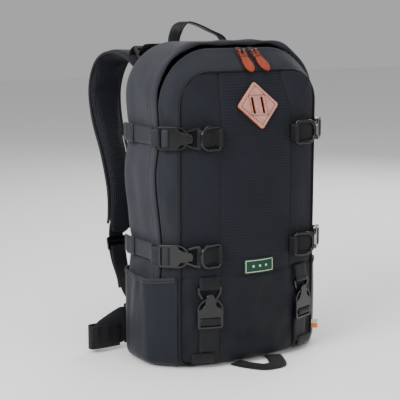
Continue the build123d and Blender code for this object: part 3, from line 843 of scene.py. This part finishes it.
def front_face():
    """The whole front in one piece: cloth panels with sunk seams, lean at the top and tucked base."""
    u = np.linspace(-1, 1, 141)
    rows, uvs = [], []

    def add_row(half, y, z, v):
        rows.append(stack(u * half, y, z))
        uvs.append(stack(u * half, v))

    for y, z in ((PIPE_Y + 0.5, FRONT_LOW), (PIPE_Y - 5, FRONT_LOW - 0.3)):
        add_row(float(pipe_half(FRONT_LOW)) + 3, y, z, z + y - PIPE_Y)
    tuck = 12
    for k in np.linspace(0, 1, 5):
        z = FRONT_LOW + tuck * (1 - math.cos(k * math.pi / 2))
        half = float(pipe_half(z)) + 3 * (1 - k)
        depth = face_depth(u * PIPE_HALF, z)
        back = tuck * (1 - math.sin(k * math.pi / 2))
        add_row(half, PIPE_Y - np.maximum(depth - back, 0.15 * depth), z, z)
    levels = list(np.linspace(FRONT_LOW + tuck, PIPE_TOP - PIPE_CORNER, 150, endpoint=False))
    levels += list(PIPE_TOP - PIPE_CORNER + PIPE_CORNER * np.sin(np.linspace(0, math.pi / 2, 34)))
    for z in levels[1:]:
        half = float(pipe_half(z))
        add_row(half, PIPE_Y - face_depth(u * half, z), z, z)
    points = np.array(rows)
    points[..., 1] -= face_push(points[..., 0], points[..., 2])
    points[..., 2] = np.maximum(points[..., 2], 2.2)
    mid = (points[:-1, :-1] + points[1:, 1:]) / 2
    beside = np.where(np.abs(mid[..., 0]) < seam_curve(mid[..., 2]), 0, 1)
    slots = np.where(mid[..., 2] < SEAM_Z, 2, beside).ravel()
    face = sheet_grid("front_face", points, uvs, ("centre", "side", "lower"), (0, 200, MID_Z), 1.6, slots,
                      lining=True)
    panels = ["front_panel_" + name for name in ("centre", "left", "right", "lower")]
    fold(face, (*panels, "flap_panel"))


def gusset():
    """Band between the zipper and the piped front edge, all round the module."""
    rows, uvs = [], []
    zx, zz, zrun = outline(ZIP_HALF, ZIP_TOP, ZIP_CORNER, base=2.0)
    px, pz, prun = outline(PIPE_HALF, PIPE_TOP, PIPE_CORNER, base=FRONT_LOW, waist=0.0)
    hem = [(-0.10, 3.6), (-0.04, 2.2), (0.0, 0.8)]
    for t, inset in hem + [(t, 0.0) for t in np.linspace(0.04, 1, 18)]:
        k = max(t, 0)
        x, z = drawn_in(zx * (1 - k) + px * k, zz * (1 - k) + pz * k, inset)
        y = ZIP_Y + (PIPE_Y - ZIP_Y) * t
        rows.append(stack(x, y, z))
        uvs.append(stack(y, zrun * (1 - k) + prun * k))
    points = np.array(rows)
    inside = (0, -45, MID_Z)
    normal = outward_normals(points, 10, inside)
    t = ((points[..., 1] - ZIP_Y) / (PIPE_Y - ZIP_Y)).clip(0, 1)
    z = points[..., 2]
    arc = np.sin(t * math.pi)
    stuffing = 2.6 + 1.0 * ripple(points, (50, 26, 46), 21) + 0.5 * ripple(points, (20, 14, 18), 22)
    puff = arc * (1 - 0.55 * ease((z - 425) / 20)) * stuffing
    hem_bead = 0.9 * bump(t, 0.10, 0.07)
    squeeze = 2.4 * at_straps(z, 12) * arc
    points = points + normal * ((puff + hem_bead - squeeze) * ease((z - 2.5) / 10))[..., None]
    points[..., 2] = np.maximum(points[..., 2], 1.2)
    # the gusset material carries painted shade for the rain flap's shadow
    band = sheet_grid("front_gusset", points, uvs, "gusset", inside, 1.6, close=True, lining=True)
    fold(band, ("gusset_left", "gusset_right", "gusset_bottom", "flap_gusset"))
    path = [(a, PIPE_Y - 0.8, max(c, 2.4)) for a, c in zip(px[::2], pz[::2])]
    fold(tube("front_piping", path, 1.9, "zip", body=None, closed=True, sides=10))


def zipper():
    """Tapes and ridged coil in the gap between the rain flap and the gusset."""
    x, z, run = outline(ZIP_HALF, ZIP_TOP, ZIP_CORNER, base=2.0)
    keep = z > LOWER_Z
    x, z, run = x[keep], z[keep], run[keep]
    for name, near, depth in (("rear", RIM_Y + 6, 7.6), ("front", RIM_Y - 1.8, 3.4)):
        rows, uvs = [], []
        for k in np.linspace(0, 1, 4):
            tx, tz = drawn_in(x, z, 4.6 - 1.2 * k)
            rows.append(stack(tx, near - depth * k, tz))
            uvs.append(stack(8 * k, run))
        tape = sheet_grid("zipper_tape_" + name, rows, uvs, "zip", (0, -30, MID_Z), 0.8)
        if name == "rear":
            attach(tape, PACK)
        else:
            fold(tape)
    tooth = 2.0
    along = np.linspace(run[0], run[-1], int(run[-1] - run[0]) * 2)
    cx, cz = np.interp(along, run, x), np.interp(along, run, z)
    ridge = 1.05 + 0.25 * np.cos(along * 2 * math.pi / tooth)
    rows, uvs = [], []
    for a in circle_steps(8):
        tx, tz = drawn_in(cx, cz, 2.6 - ridge * math.cos(a))
        rows.append(stack(tx, RIM_Y - 2.2 + ridge * math.sin(a) * 1.3, tz))
        uvs.append(stack(a, along))
    points, uvs = np.array(rows + rows[:1]), np.array(uvs + uvs[:1])
    faces = grid_faces(*points.shape[:2])
    coil = piece("zipper_coil", points.reshape(-1, 3), faces, "zip", uvs.reshape(-1, 2))
    modify(coil, "WELD", merge_threshold=0.00001)
    tidy_normals(coil)
    fold(coil, ("zipper_coils", "flap_coil"))


def seam_shade_cords():
    """Thin near-black cords at the bottom of the seam grooves: they stand for the sewn seams, and their dark
    colour is painted shade for the grooves.
    """
    for side, k in SIDES:
        path = [face_point(k * float(seam_curve(z)), z, -1.0) for z in np.linspace(SEAM_Z + 1, 424, 60)]
        fold(tube("front_seam_" + side, path, 0.6, "zip", body=None, sides=6))
    xs = np.linspace(-PIPE_HALF + 4, PIPE_HALF - 4, 60)
    # near-black cord in the level seam's groove, painted shade for the groove
    tube("level_seam_shade_cord", [face_point(x, SEAM_Z, -0.8) for x in xs], 0.6, "zip", sides=6)


# ---------------------------------------------------------------- leather patch, label, tag
def leather_patch():
    """Diamond lash patch with two slots, a stitched border and a stitched box round the slots."""
    reach = (high("leather_patch").x - low("leather_patch").x) / 2 + 4.2
    matrix = frame_matrix(middle("leather_patch") + LEAN_OUT * 0.8, (1, 0, 0), LEAN_OUT)
    diamond = rounded([(reach, 0), (0, reach), (-reach, 0), (0, -reach)], 4.0)
    slits = [ring_of(4.2, 25, 1.9, (x, 0)) for x in (-8.4, 8.4)]
    patch = plate("diamond_patch", [diamond, *slits], 3.4, 0.9, matrix, ("patch", "patch_edge"))
    tie(patch, FLAP, ("leather_patch",))
    top = 1.75
    inner = reach - 6.8
    w, t = 14.2, 15.2
    border = [(inner, 0), (0, inner), (-inner, 0), (0, -inner)]
    box = [(-w, -t), (w, -t), (w, t), (-w, t)]
    runs = []
    for corners in (border, box):
        for a, b in zip(corners, corners[1:] + corners[:1]):
            runs.append(((on_plane(matrix, *a, top), on_plane(matrix, *b, top)), LEAN_OUT))
    stitches("patch_stitching", runs, "rust_thread", FLAP, pitch=3.4, length=2.6, radius=0.6)


def label_part(name, x0, x1, z0, z1, stand, material):
    """Small oblong of woven tape lying on the front, standing stand mm off it."""
    xs = np.linspace(x0, x1, 15)
    zs = np.linspace(z0, z1, 9)
    rows = [[(*face_point(x, max(z, SEAM_Z + 6), stand)[:2], z) for x in xs] for z in zs]
    uvs = [[(x, z) for x in xs] for z in zs]
    return tie(sheet_grid(name, rows, uvs, material, (0, 0, 148), 1.1), PACK)


def woven_label():
    """Plain green woven label with a cream border and three plain marks, sewn over the level seam."""
    x1, z0, z1 = high("woven_label").x, low("woven_label").z, high("woven_label").z
    lift, edge, line, mark = 1.3, 2.0, 0.9, 1.6
    base = label_part("label_base", -x1, x1, z0, z1, lift, "label")
    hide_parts("woven_label")
    inner = x1 - edge
    parts = [("border_low", -inner, inner, z0 + edge, z0 + edge + line),
             ("border_top", -inner, inner, z1 - edge - line, z1 - edge),
             ("border_left", -inner, -inner + line, z0 + edge, z1 - edge),
             ("border_right", inner - line, inner, z0 + edge, z1 - edge)]
    mid = (z0 + z1) / 2
    for i, x in enumerate((-11.0, 0.0, 11.0)):
        parts.append(("mark_%d" % i, x - mark, x + mark, mid - mark, mid + mark))
    for name, *sides in parts:
        label_part("label_" + name, *sides, lift + 0.35, "label_line")


def side_tag():
    """Small folded ribbon tag in the right front seam."""
    matrix = frame_matrix(middle("side_tag"), (0.8, -0.6, 0), (0.6, 0.8, 0))
    for name, y, material in (("tag_orange", 3.5, "tag"), ("tag_pale", -3.5, "label_line")):
        tie(plate(name, [ring_of(10, 6.9, 0.6, (0, y))], 1.2, 0.3, matrix, material), PACK, ("side_tag",))


# ---------------------------------------------------------------- zipper pulls
PULL_LEAF = [(-4.6, 9), (-6.6, 16), (-8.2, 24), (-7.8, 32), (-4.8, 38.5), (0, 41), (4.8, 38.5), (7.8, 32),
             (8.2, 24), (6.6, 16), (4.6, 9)]
PULL_LOOP = [(9.5, 1.5), (4, 1.9), (0.8, 2.2), (-1.5, 1.5), (-2.2, 0), (-1.5, -1.5), (0.8, -2.2), (4, -1.9),
             (9.5, -1.5)]
PULL_ROW = [(-6.2, 21), (-6.3, 27), (-4.8, 34), (0, 37.6), (4.8, 34), (6.3, 27), (6.2, 21)]


def zipper_pulls():
    """Folded leather pulls: a keeper round two loops on the bail, and a teardrop leaf."""
    slope = math.atan2(ZIP_TOP - PIPE_TOP, ZIP_Y - PIPE_Y)
    down = Vector((0, -math.cos(slope), -math.sin(slope)))
    out = Vector((0, -math.sin(slope), math.cos(slope)))
    for side, degrees in (("left", 3), ("right", 14)):
        turn = math.radians(degrees)
        across = Vector((-1, 0, 0)) * math.cos(turn) + down * math.sin(turn)
        body = "pull_" + side
        matrix = frame_matrix(pivot(body + "_swing"), across, out)
        leaf = [tuple(p)[:2] for p in smooth_path([(x, y, 0) for x, y in PULL_LEAF], 1.2)]
        tie(plate("pull_leaf_" + side, [leaf], 3.2, 0.9, matrix, ("pull", "pull_edge")), body,
            ("zipper_pull_" + side,))
        keeper = [ring_of(12.6, 5.6, 1.6, (0, 10.4))]
        tie(plate("pull_keeper_" + side, keeper, 5.0, 1.4, matrix, "pull_edge"), body)
        for name, x in (("a", -4.1), ("b", 4.1)):
            path = [on_plane(matrix, x, y, z) for y, z in PULL_LOOP]
            ribbon("pull_loop_%s_%s" % (side, name), path, across, 3.4, "pull_edge", 1.3, 0.8, body)
        stitches("pull_stitching_" + side, [([on_plane(matrix, x, y, 1.6) for x, y in PULL_ROW], out)],
                 "rust_thread", body, 2.6, 1.8, 0.32)


# ---------------------------------------------------------------- side pockets
def pocket_plan(s, lift):
    """Point on the left pocket's wall seen from above: s from its rear seam, 0, to the front one, 1."""
    inner = BODY_HALF + 3.5
    bulge = low("side_pocket_left").x
    shape = [(-inner + 0.5, 50, 0), (bulge + 4.5, 40, 0), (bulge + 0.8, 22, 0), (bulge, -6, 0),
             (bulge + 2.0, -28, 0), (bulge + 13, -44, 0), (-PIPE_HALF - 3.5, PIPE_Y + 1.5, 0)]
    rows = np.array([tuple(p) for p in smooth_path(shape, 1.0)])
    x, y, _ = read_off(s * (len(rows) - 1), range(len(rows)), rows)
    dx, dy = np.gradient(x), np.gradient(y)
    size = np.hypot(dx, dy)
    return x + lift * dy / size, y - lift * dx / size


def side_pockets():
    """Stretch pockets with soft upright folds, gathered under a drooping elastic binding."""
    s = np.linspace(0, 1, 120)
    length = 150
    top = high("side_pocket_left").z + 1.5 - 5.0 * np.sin(math.pi * s)
    floor = low("side_pocket_left").z
    hold = np.sin(math.pi * s) ** 0.6

    def wave(z, gather):
        place = stack(s * length, 0.0, z)
        soft = 1.3 * ripple(place, (34, 30, 150), 31) + 0.7 * ripple(place, (13, 30, 120), 32)
        return hold * soft * (0.45 + 0.55 * gather)

    rows, uvs = [], []
    for z, lift in ((floor - 3.5, -12.5), (floor - 2.5, -7), (floor, -2.5), (floor + 4, -0.6)):
        x, y = pocket_plan(s, lift)
        rows.append(stack(np.minimum(x, -PIPE_HALF - 2) if lift < -5 else x, y, z))
        uvs.append(stack(s * length, z + lift))
    for k in np.linspace(0, 1, 46):
        z = floor + 9 + (top - floor - 9) * k
        lift = wave(floor + 120 * k, k) + 1.2 * hold * math.sin(math.pi * k) - 0.8 * hold * k
        x, y = pocket_plan(s, lift)
        rows.append(stack(x, y, z))
        uvs.append(stack(s * length, z))
    left = sheet_grid("pocket_cloth_left", rows, uvs, "pocket", (-100, 0, 70), 1.3)
    for name, drop, width in (("upper", 0.0, 3.6), ("lower", -3.9, 3.2)):
        path = [Vector(p) + Vector((0, 0, drop)) for p in rows[-1][::3]]
        right_twin(ribbon("pocket_binding_%s_left" % name, path, UP, width, "elastic", 3.0))
    right_twin(left, PACK, ("side_pocket_right",))
    tie(left, PACK, ("side_pocket_left",))


# ---------------------------------------------------------------- straps across the sides and front
def buckle_frame(node, release):
    """Matrix of a buckle's own plane: x from its frame to the tongue, z outward."""
    along = -Vector(joint(release)["axis"])
    side = -1 if "left" in node else 1
    if abs(along.z) > 0.5:
        slant = math.asin(middle(node).x / CROWN_RADIUS)
        out = Vector((math.sin(slant), -math.cos(slant), 0))
        origin = Vector((middle(node).x, middle(node).y, low(node).z)) - out * BUCKLE_THICK / 2
    else:
        out = Vector((side * abs(along.y), -abs(along.x), 0))
        edge = low(node).x if side < 0 else high(node).x
        origin = Vector((edge - side * BUCKLE_THICK * abs(out.x), high(node).y, middle(node).z))
    return frame_matrix(origin, along, out), side


# Webbing round the buckle's two cross bars, and round the receiver's bar: distance along and outward.
THREADED = [(9, -1.7), (13.6, -0.9), (15.3, 1.4), (15.0, 4.2), (12.6, 5.6), (9.6, 5.7), (6.6, 4.6),
            (5.2, 2.2), (3.4, -0.2)]
ROUND_BAR = [(66, -0.6), (61.6, 0.8), (58.8, 0.7), (57.1, -0.8), (57.1, -3.2), (58.8, -4.9), (61.8, -5.1)]


def along_buckle(matrix, path):
    return [on_plane(matrix, u, 0, w) for u, w in path]


def bartack(name, places, out, z):
    """Upright rows of close stitches at (x, y) places, across webbing at height z."""
    stitches(name, [(((x, y, z - 11), (x, y, z + 11)), out) for x, y in places])


def side_straps():
    """Compression straps: sewn at the rear seam, threaded through the buckle, with the tail lying back."""
    for strap in STRAPS:
        node = "buckle_" + strap
        matrix, k = buckle_frame(node, node + "_release")
        z = middle(node).z
        side = BODY_HALF + 1.2
        rear = high("compression_strap_" + strap).y
        flat = ((-2.0, rear), (0.6, 52), (0.4, 20), (0.6, -18))
        path = [Vector((k * (side + off), y, z)) for off, y in flat]
        path += along_buckle(matrix, [(-12, -3.4), (-2, -3.2), (5, -2.9)] + THREADED)
        path += along_buckle(matrix, [(0, -1.0), (-5, -1.1), (-11, -0.6)])
        web = ribbon("strap_" + strap, path, UP, WEB, "web_pale", body=None,
                     replaces=("compression_strap_" + strap,))
        tuple(on_plane(matrix, -4, 0) * MM)
        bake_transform(web)
        tab = [(k * (side + off), y, z) for off, y in ((0.4, 56), (2.4, 50), (2.6, 40), (2.4, 30))]
        ribbon("strap_tab_" + strap, tab, UP, WEB + 3, "web_pale", 1.8, 2.0)
        x = k * (side + 3.5)
        bartack("strap_bartack_" + strap, [(x, y) for y in (33.0, 36.0, 46.5, 49.0)], Vector((k, 0, 0)), z)


def ring_tabs():
    """Doubled webbing from the upright seam, looped over the gear ring's bar and the receiver's bar."""
    r = 3.5
    for strap in STRAPS:
        matrix, k = buckle_frame("buckle_" + strap, "buckle_%s_release" % strap)
        bar = pivot("ring_%s_swing" % strap)
        seam = SEAM_X - k * bar.x
        there = [(seam + 0.4, 4.6), (seam + 1.6, 3.4), (-r, 0.4), (-2.4, -2.5), (0, -r), (2.4, -2.5),
                 (r, 0.2), (5.4, 2.6), (10, 3.2)]
        back = [(20, 5.6), (6, 4.9), (seam + 1.0, 6.2)]
        there, back = [[bar + Vector((k * x, y, 0)) for x, y in part] for part in (there, back)]
        path = there + along_buckle(matrix, ROUND_BAR) + back
        ribbon("ring_tab_" + strap, path, UP, WEB, "web", WEB_THICK, 1.2, PACK, ("ring_tabs",))
        places = [(bar.x + k * x, bar.y + 2.2) for x in (9.5, 11.9)]
        bartack("ring_bartack_" + strap, places, Vector((0, -1, 0)), bar.z)


def lash_straps():
    """Front lash straps: threaded frame, doubled tab to the level seam above, sewn anchor at the base."""
    for name, k in SIDES:
        node = "lash_buckle_" + name
        matrix, _ = buckle_frame(node, "lash_%s_release" % name)
        across = matrix.to_3x3() @ Vector((0, 1, 0))
        run = low(node).z - 8
        path = [(-run, -4.9), (-run * 0.6, -4.9), (-16, -4.8), (-4, -4.0), (4, -3.2)] + THREADED
        path += [(0.5, -1.3), (-6, -2.0), (-16, -2.8), (-26, -3.0), (-36, -1.8)]
        web = ribbon("lash_web_" + name, along_buckle(matrix, path), across, LASH_WEB, body=None,
                     replaces=("lash_webbing",))
        tuple(on_plane(matrix, -run, 0) * MM)
        tuple(on_plane(matrix, -6, 0) * MM)
        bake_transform(web)
        up = SEAM_Z - low(node).z
        tab = [(up + 0.5, -4.0), (up - 3, -3.0)] + ROUND_BAR + [(up - 4, -5.0), (up, -5.4)]
        ribbon("lash_tab_" + name, along_buckle(matrix, tab), across, LASH_WEB, step=1.2)
        x = middle(node).x + 7 * k
        anchor = [face_point(x, z, lift) for z, lift in ((9, 2.0), (16, 4.4), (23, 4.6))]
        ribbon("lash_anchor_" + name, anchor, across, LASH_WEB + 4, "web", 1.8, 2.0, PACK, ("lash_anchors",))


def bottom_loop():
    """Tool loop: one flat webbing band sewn under the front edge and bowed forward along the floor."""
    rear = high("bottom_loop").y
    half = high("bottom_loop").x - 12
    deep = low("bottom_loop").y + 13.5
    path = [(-half, rear), (-half + 7, rear - 18), (-14, deep + 5), (-6, deep), (10, deep), (17, deep + 5),
            (half - 7, rear - 18), (half, rear)]
    points = [Vector((x, y, 1.5)) for x, y in path]
    across = [heading(points, i).cross(Vector(UP)) for i in range(len(points))]
    ribbon("tool_loop", points, across, 26, "web", 1.7, 1.5, PACK, ("bottom_loop",))


# ---------------------------------------------------------------- harness
STRAP_PATH = [(-60, 85, 397), (-70, 109, 441), (-86, 146, 455), (-97, 176, 440), (-104, 189, 400),
              (-106, 180, 350), (-107, 152, 295), (-108, 133, 240), (-111, 130, 195), (-117, 134, 172)]
STRAP_WIDTHS = (58, 60, 60, 59, 56, 53, 50, 48, 46, 42)
STRAP_THICK = 9.5


def strap_stations():
    """Places along the left shoulder strap: centre, width direction, normal, width, distance from 0 to 1."""
    points = smooth_path(STRAP_PATH, 6.0)
    stations = []
    for i, point in enumerate(points):
        t = heading(points, i).normalized()
        normal = t.cross(Vector((1, 0, 0))).normalized()
        s = i / (len(points) - 1)
        width = float(np.interp(s, np.linspace(0, 1, len(STRAP_WIDTHS)), STRAP_WIDTHS))
        stations.append((point, normal.cross(t).normalized(), normal, width, s))
    return stations


def paint_back(obj, stations, sign):
    """Give the second material to the faces on one side of a strap."""
    centres = np.array([tuple(place[0]) for place in stations]) * MM
    sides = np.array([tuple(place[2]) for place in stations]) * sign
    mesh = obj.data
    centre, normal = np.empty(len(mesh.polygons) * 3), np.empty(len(mesh.polygons) * 3)
    mesh.polygons.foreach_get("center", centre)
    mesh.polygons.foreach_get("normal", normal)
    near = [np.argmin(((centres - c) ** 2).sum(axis=1)) for c in centre.reshape(-1, 3)]
    facing = (sides[near] * normal.reshape(-1, 3)).sum(axis=1)
    mesh.polygons.foreach_set("material_index", np.where(facing > 0.25, 1, 0).astype(np.int32))


def shoulder_straps():
    """Curved padded straps with bound edges and a mesh inner face."""
    stations = strap_stations()
    ring = 28
    verts = []
    for point, w, n, width, s in stations:
        far_end = math.sqrt(max(0.0, 1 - (max(0, s - 0.94) / 0.062) ** 2))
        close = far_end * math.sqrt(max(0.0, 1 - (max(0, 0.05 - s) / 0.052) ** 2))
        for a in circle_steps(ring):
            x, y = oblong(a, width, STRAP_THICK, 0.55, 0.75)
            verts.append(point + w * (x * (0.35 + 0.65 * close)) + n * (y * (0.5 + 0.5 * close)))
    pad = loft("strap_pad_left", verts, ring, ("pad", "mesh"))
    swell(pad, 4.5, 4.0)
    paint_back(pad, stations, 1 if stations[len(stations) // 2][2].y < 0 else -1)
    tie(pad, PACK, ("shoulder_strap_left",))
    other = right_twin(pad, PACK, ("shoulder_strap_right",))
    for label, edge in (("outer", -1), ("inner", 1)):
        path = [point + w * edge * (width / 2 - 1.0) for point, w, _, width, _ in stations][1:-2]
        right_twin(tube("strap_binding_%s_left" % label, path, 2.3, "binding", step=4.0))


def harness_webbing():
    """Load lifters on top and adjusters below, each through its ladder lock, with free tails."""
    for name, k in SIDES:
        x = k * 84
        path = [(x, 62, 470.5), (x, 74, 469), (x, 84, 463.2), (x, 90, 457.5), (x, 95, 455.5), (x, 100, 459)]
        ribbon("load_lifter_" + name, path, (1, 0, 0), WEB, replaces=("harness_webbing",))
        tail = [(x, 97, 462), (x, 104, 466), (x + k * 2, 114, 460), (x + k * 3, 118, 448)]
        ribbon("lifter_tail_" + name, tail, (1, 0, 0), WEB)
        x = k * 119
        path = [(x - k * 3, 133.5, 186), (x - k, 132, 170), (x, 127.5, 157), (x, 122, 146), (x, 112, 117),
                (x, 90, 90), (x, 78.5, 81)]
        ribbon("adjuster_" + name, path, (1, 0, 0), WEB)
        tail = [(x, 129.5, 155), (x - k, 131, 146), (x - k * 4, 128, 126), (x - k * 8, 121, 104),
                (x - k * 9, 116, 86)]
        ribbon("adjuster_tail_" + name, tail, (1, 0.12 * k, 0), WEB)


def hip_wings():
    """Padded fins of the hip belt with webbing sewn to their tips."""
    node, web = "hip_wing_left", "hip_webbing_left"
    inner, tip = -high(node).x, -low(node).x
    y, z0, z1 = middle(node).y, low(node).z, high(node).z
    sections = ((inner + 1, 2, 2, 8.4), (140, 3, 6, 8.4), (160, 4, 15, 8.4), (tip - 5, 6, 27, 8.4),
                (tip - 2, 12, 32, 5.0))
    verts, ring = [], 24
    for x, up, down, thick in sections:
        a, b = z0 + up, z1 - down
        for t in circle_steps(ring):
            dy, dz = oblong(t, thick, b - a, 0.8, 0.6)
            verts.append((-x, y + dy, (a + b) / 2 + dz))
    pad = loft("hip_pad_left", verts, ring, "pad")
    modify(pad, "SUBSURF", levels=1)
    swell(pad, 4.0, 3.0)
    tie(pad, "wing_left", (node,))
    other = right_twin(pad, "wing_right", ("hip_wing_right",))
    lumbar = high("lumbar_pad").x
    root_z, root_tall = (z0 + z1) / 2, z1 - z0 - 10
    for name, k in SIDES:
        path = [(lumbar - 12, -4.4), (lumbar + 6, -4.2), (inner - 14, -1.5), (inner - 2, 0), (inner + 8, 0)]
        path = [(k * x, y + back, root_z) for x, back in path]
        strip = ribbon("hip_root_" + name, path, UP, root_tall, "pad", 3.4, 3.0, None)
        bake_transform(strip)
    x0, x1, mid = high(web).x, low(web).x, middle(web).z
    path = [(x0, -7.0), (x0 - 20, -7.6), (x1 + 6, -7.4), (x1 + 0.9, -3), (x1 + 0.9, 3), (x1 + 6, 6.4),
            (x0 - 22, 6.8)]
    tail = [(x1 + 5, -9.6), (x1 + 10, -10.6), (x1 + 15, -9.4), (x1 + 21, -9.6), (x1 + 27, -10.2),
            (x1 + 31, -9.0)]
    path, tail = [[(x, y + back, mid) for x, back in part] for part in (path, tail)]
    strap = ribbon("hip_web_left", path, UP, 37, body="wing_left", replaces=(web,))
    right_twin(strap, "wing_right", ("hip_webbing_right",))
    right_twin(ribbon("hip_tail_left", tail, UP, 35, step=1.0, body="wing_left"), "wing_right")


def block_pad(name, node, edge, spare, corner):
    """Rounded flat pad in its CAD box less edge at the sides and spare at the back, ready to be swollen."""
    (x0, y0, z0), (x1, y1, z1) = low(node), high(node)
    x0, x1, z0, z1, y1 = x0 + edge, x1 - edge, z0 + 2, z1 - 2, y1 - spare
    ring = rounded([(x0, z0), (x1, z0), (x1, z1), (x0, z1)], corner, 8)
    cx, cz = (x0 + x1) / 2, (z0 + z1) / 2
    verts = []
    for y, inset in ((y0, 3.0), (y0 + 2, 1.0), (y1 - 3.5, 0.6), (y1 - 1.0, 3.0), (y1, 8.0)):
        for x, z in ring:
            d = math.hypot(x - cx, z - cz)
            verts.append((x - (x - cx) / d * inset, y, z - (z - cz) / d * inset))
    return loft(name, verts, len(ring), "mesh")


def channels(obj, spacing, depth, axis, start, front):
    """Sew cross channels into the free side of a pad, spaced along one axis."""
    co = read_points(obj) / MM
    phase = (co[:, axis] - start) / spacing
    groove = np.exp(-((phase - np.round(phase)) * spacing / 2.4) ** 2)
    co[:, 1] -= groove * depth * ease((co[:, 1] - front) / 3)
    write_points(obj, co * MM)


def back_pads():
    """Two long channelled pads, the lumbar pad and the yoke band, in spacer mesh."""
    for name, node, edge, spare, corner, spacing, depth, axis, start in (
            ("back_cushion_left", "back_pad_left", 1, 2.0, 14, 42, 3.0, 2, 14),
            ("lumbar_cushion", "lumbar_pad", 2, 2.5, 18, 58, 2.6, 0, 29)):
        pad = block_pad(name, node, edge, spare, corner)
        swell(pad, 4.5, 3.0)
        channels(pad, spacing, depth, axis, start, low(node).y + 2)
        tie(pad, PACK, (node,))
        if "left" in name:
            right_twin(pad, PACK, ("back_pad_right",))
    node = "strap_yoke"
    half, y, z = high(node).x, middle(node).y, middle(node).z
    path = [(-half, y, z), (-half / 2, y + 0.3, z), (0, y + 0.3, z), (half / 2, y + 0.3, z), (half, y, z)]
    ribbon("yoke_band", path, UP, high(node).z - low(node).z, "web", 3.2, 4.0, PACK, (node,))


def grab_handle():
    """Webbing handle: a twisted leg on the left, then a long slope down to the right."""
    width = 18
    y, base, peak = middle("grab_handle").y, low("grab_handle").z, high("grab_handle").z
    path = [(-46, y + 4, base - 1), (-46, y + 3, base + 7), (-43, y, base + 19), (-36, y - 1, peak - 5),
            (-26, y, peak - 1.4), (-6, y, peak - 6), (16, y, base + 17), (36, y + 1, base + 9),
            (46, y + 3, base - 1)]
    across = [(0.85, -0.5, 0.1), (0.82, -0.56, 0.1), (0.6, -0.8, 0.1), (0.25, -0.97, 0)]
    across += [(0, -1, 0)] * 4 + [(0.1, -1, 0)]
    ribbon("handle_web", path, across, width, "web", 2.2, 1.5, "handle", ("grab_handle",))
    node = "handle_ends"
    y, z0, z1 = middle(node).y, low(node).z, high(node).z
    for name, k in SIDES:
        x = k * (high(node).x - width / 2)
        path = [(x, y - 0.6, z1), (x, y, (z0 + z1) / 2), (x, y, z0)]
        ribbon("handle_end_" + name, path, (1, 0, 0), width, "web", 1.8, 2.0, PACK, (node,))
        levels = (z0 + 4, z0 + 7, z1 - 6)
        runs = [(((x - 7, y + 1.0, z), (x + 7, y + 1.0, z)), Vector((0, 1, 0))) for z in levels]
        stitches("handle_bartack_" + name, runs)


# ---------------------------------------------------------------- hard parts kept from the CAD
def hard_parts():
    """Moulded and metal parts keep their CAD shape and take a finer finish."""
    plastics = ["buckle_receivers", "lash_receivers", "ladder_locks", "frame_sheet"]
    plastics += ["lash_buckle_" + name for name, _ in SIDES]
    plastics += [kind + strap for strap in STRAPS for kind in ("buckle_", "gear_ring_")]
    metals = ["zipper_slider_" + name for name, _ in SIDES]
    for key, nodes in (("plastic", plastics), ("metal", metals)):
        for node in nodes:
            data = frame["nodes"][node].data
            data.materials.clear()
            data.materials.append(MATERIALS[key])


# ---------------------------------------------------------------- floor, light, camera
def studio():
    """Pale floor, even white surroundings and soft lamps: name, place, size in metres, power in watts."""
    r = 6.0
    mesh = bpy.data.meshes.new("floor")
    mesh.from_pydata([(-r, -r, 0), (r, -r, 0), (r, r, 0), (-r, r, 0)], [], [(0, 1, 2, 3)])
    mesh.materials.append(Shader("studio_floor", (0.9, 0.9, 0.9), 0.9).material)
    floor = add("floor", mesh)
    floor.location.z = -0.0005
    world = bpy.data.worlds.new("studio")
    world.use_nodes = True
    color, strength = list(world.node_tree.nodes["Background"].inputs)[:2]
    color.default_value = (1, 1, 1, 1)
    strength.default_value = 0.45
    bpy.context.scene.world = world
    target = Vector((0, 0, 0.24))
    lamps = (("key", (-1.7, -0.5, 1.25), 1.1, 48), ("top", (0.1, -0.2, 2.0), 1.3, 20),
             ("front", (0.5, -2.0, 0.8), 1.0, 10), ("rim", (1.4, 1.0, 1.2), 0.9, 18),
             ("glint", (-1.1, -1.7, 1.0), 0.22, 8))
    for name, place, size, power in lamps:
        light = bpy.data.lights.new(name, "AREA")
        light.size = size
        light.energy = power
        lamp = add(name, light)
        lamp.location = place
        lamp.rotation_euler = (target - Vector(place)).to_track_quat("-Z", "Y").to_euler()


def camera():
    """The photograph's direction, a little above the left front corner."""
    azimuth, elevation, distance = math.radians(-32.5), math.radians(9.7), 1.747
    target = Vector((-0.0436, 0, 0.2366))
    level = math.cos(elevation)
    away = Vector((math.sin(azimuth) * level, -math.cos(azimuth) * level, math.sin(elevation)))
    data = bpy.data.cameras.new("camera")
    data.lens, data.sensor_width = 103.5, 36
    cam = add("camera", data)
    cam.location = target + away * distance
    cam.rotation_euler = (-away).to_track_quat("-Z", "Y").to_euler()
    bpy.context.scene.camera = cam


main_shell()
rim_seam()
back_face()
front_face()
gusset()
zipper()
seam_shade_cords()
leather_patch()
woven_label()
side_tag()
zipper_pulls()
side_pockets()
side_straps()
ring_tabs()
lash_straps()
bottom_loop()
shoulder_straps()
harness_webbing()
hip_wings()
back_pads()
grab_handle()
hard_parts()
studio()
camera()
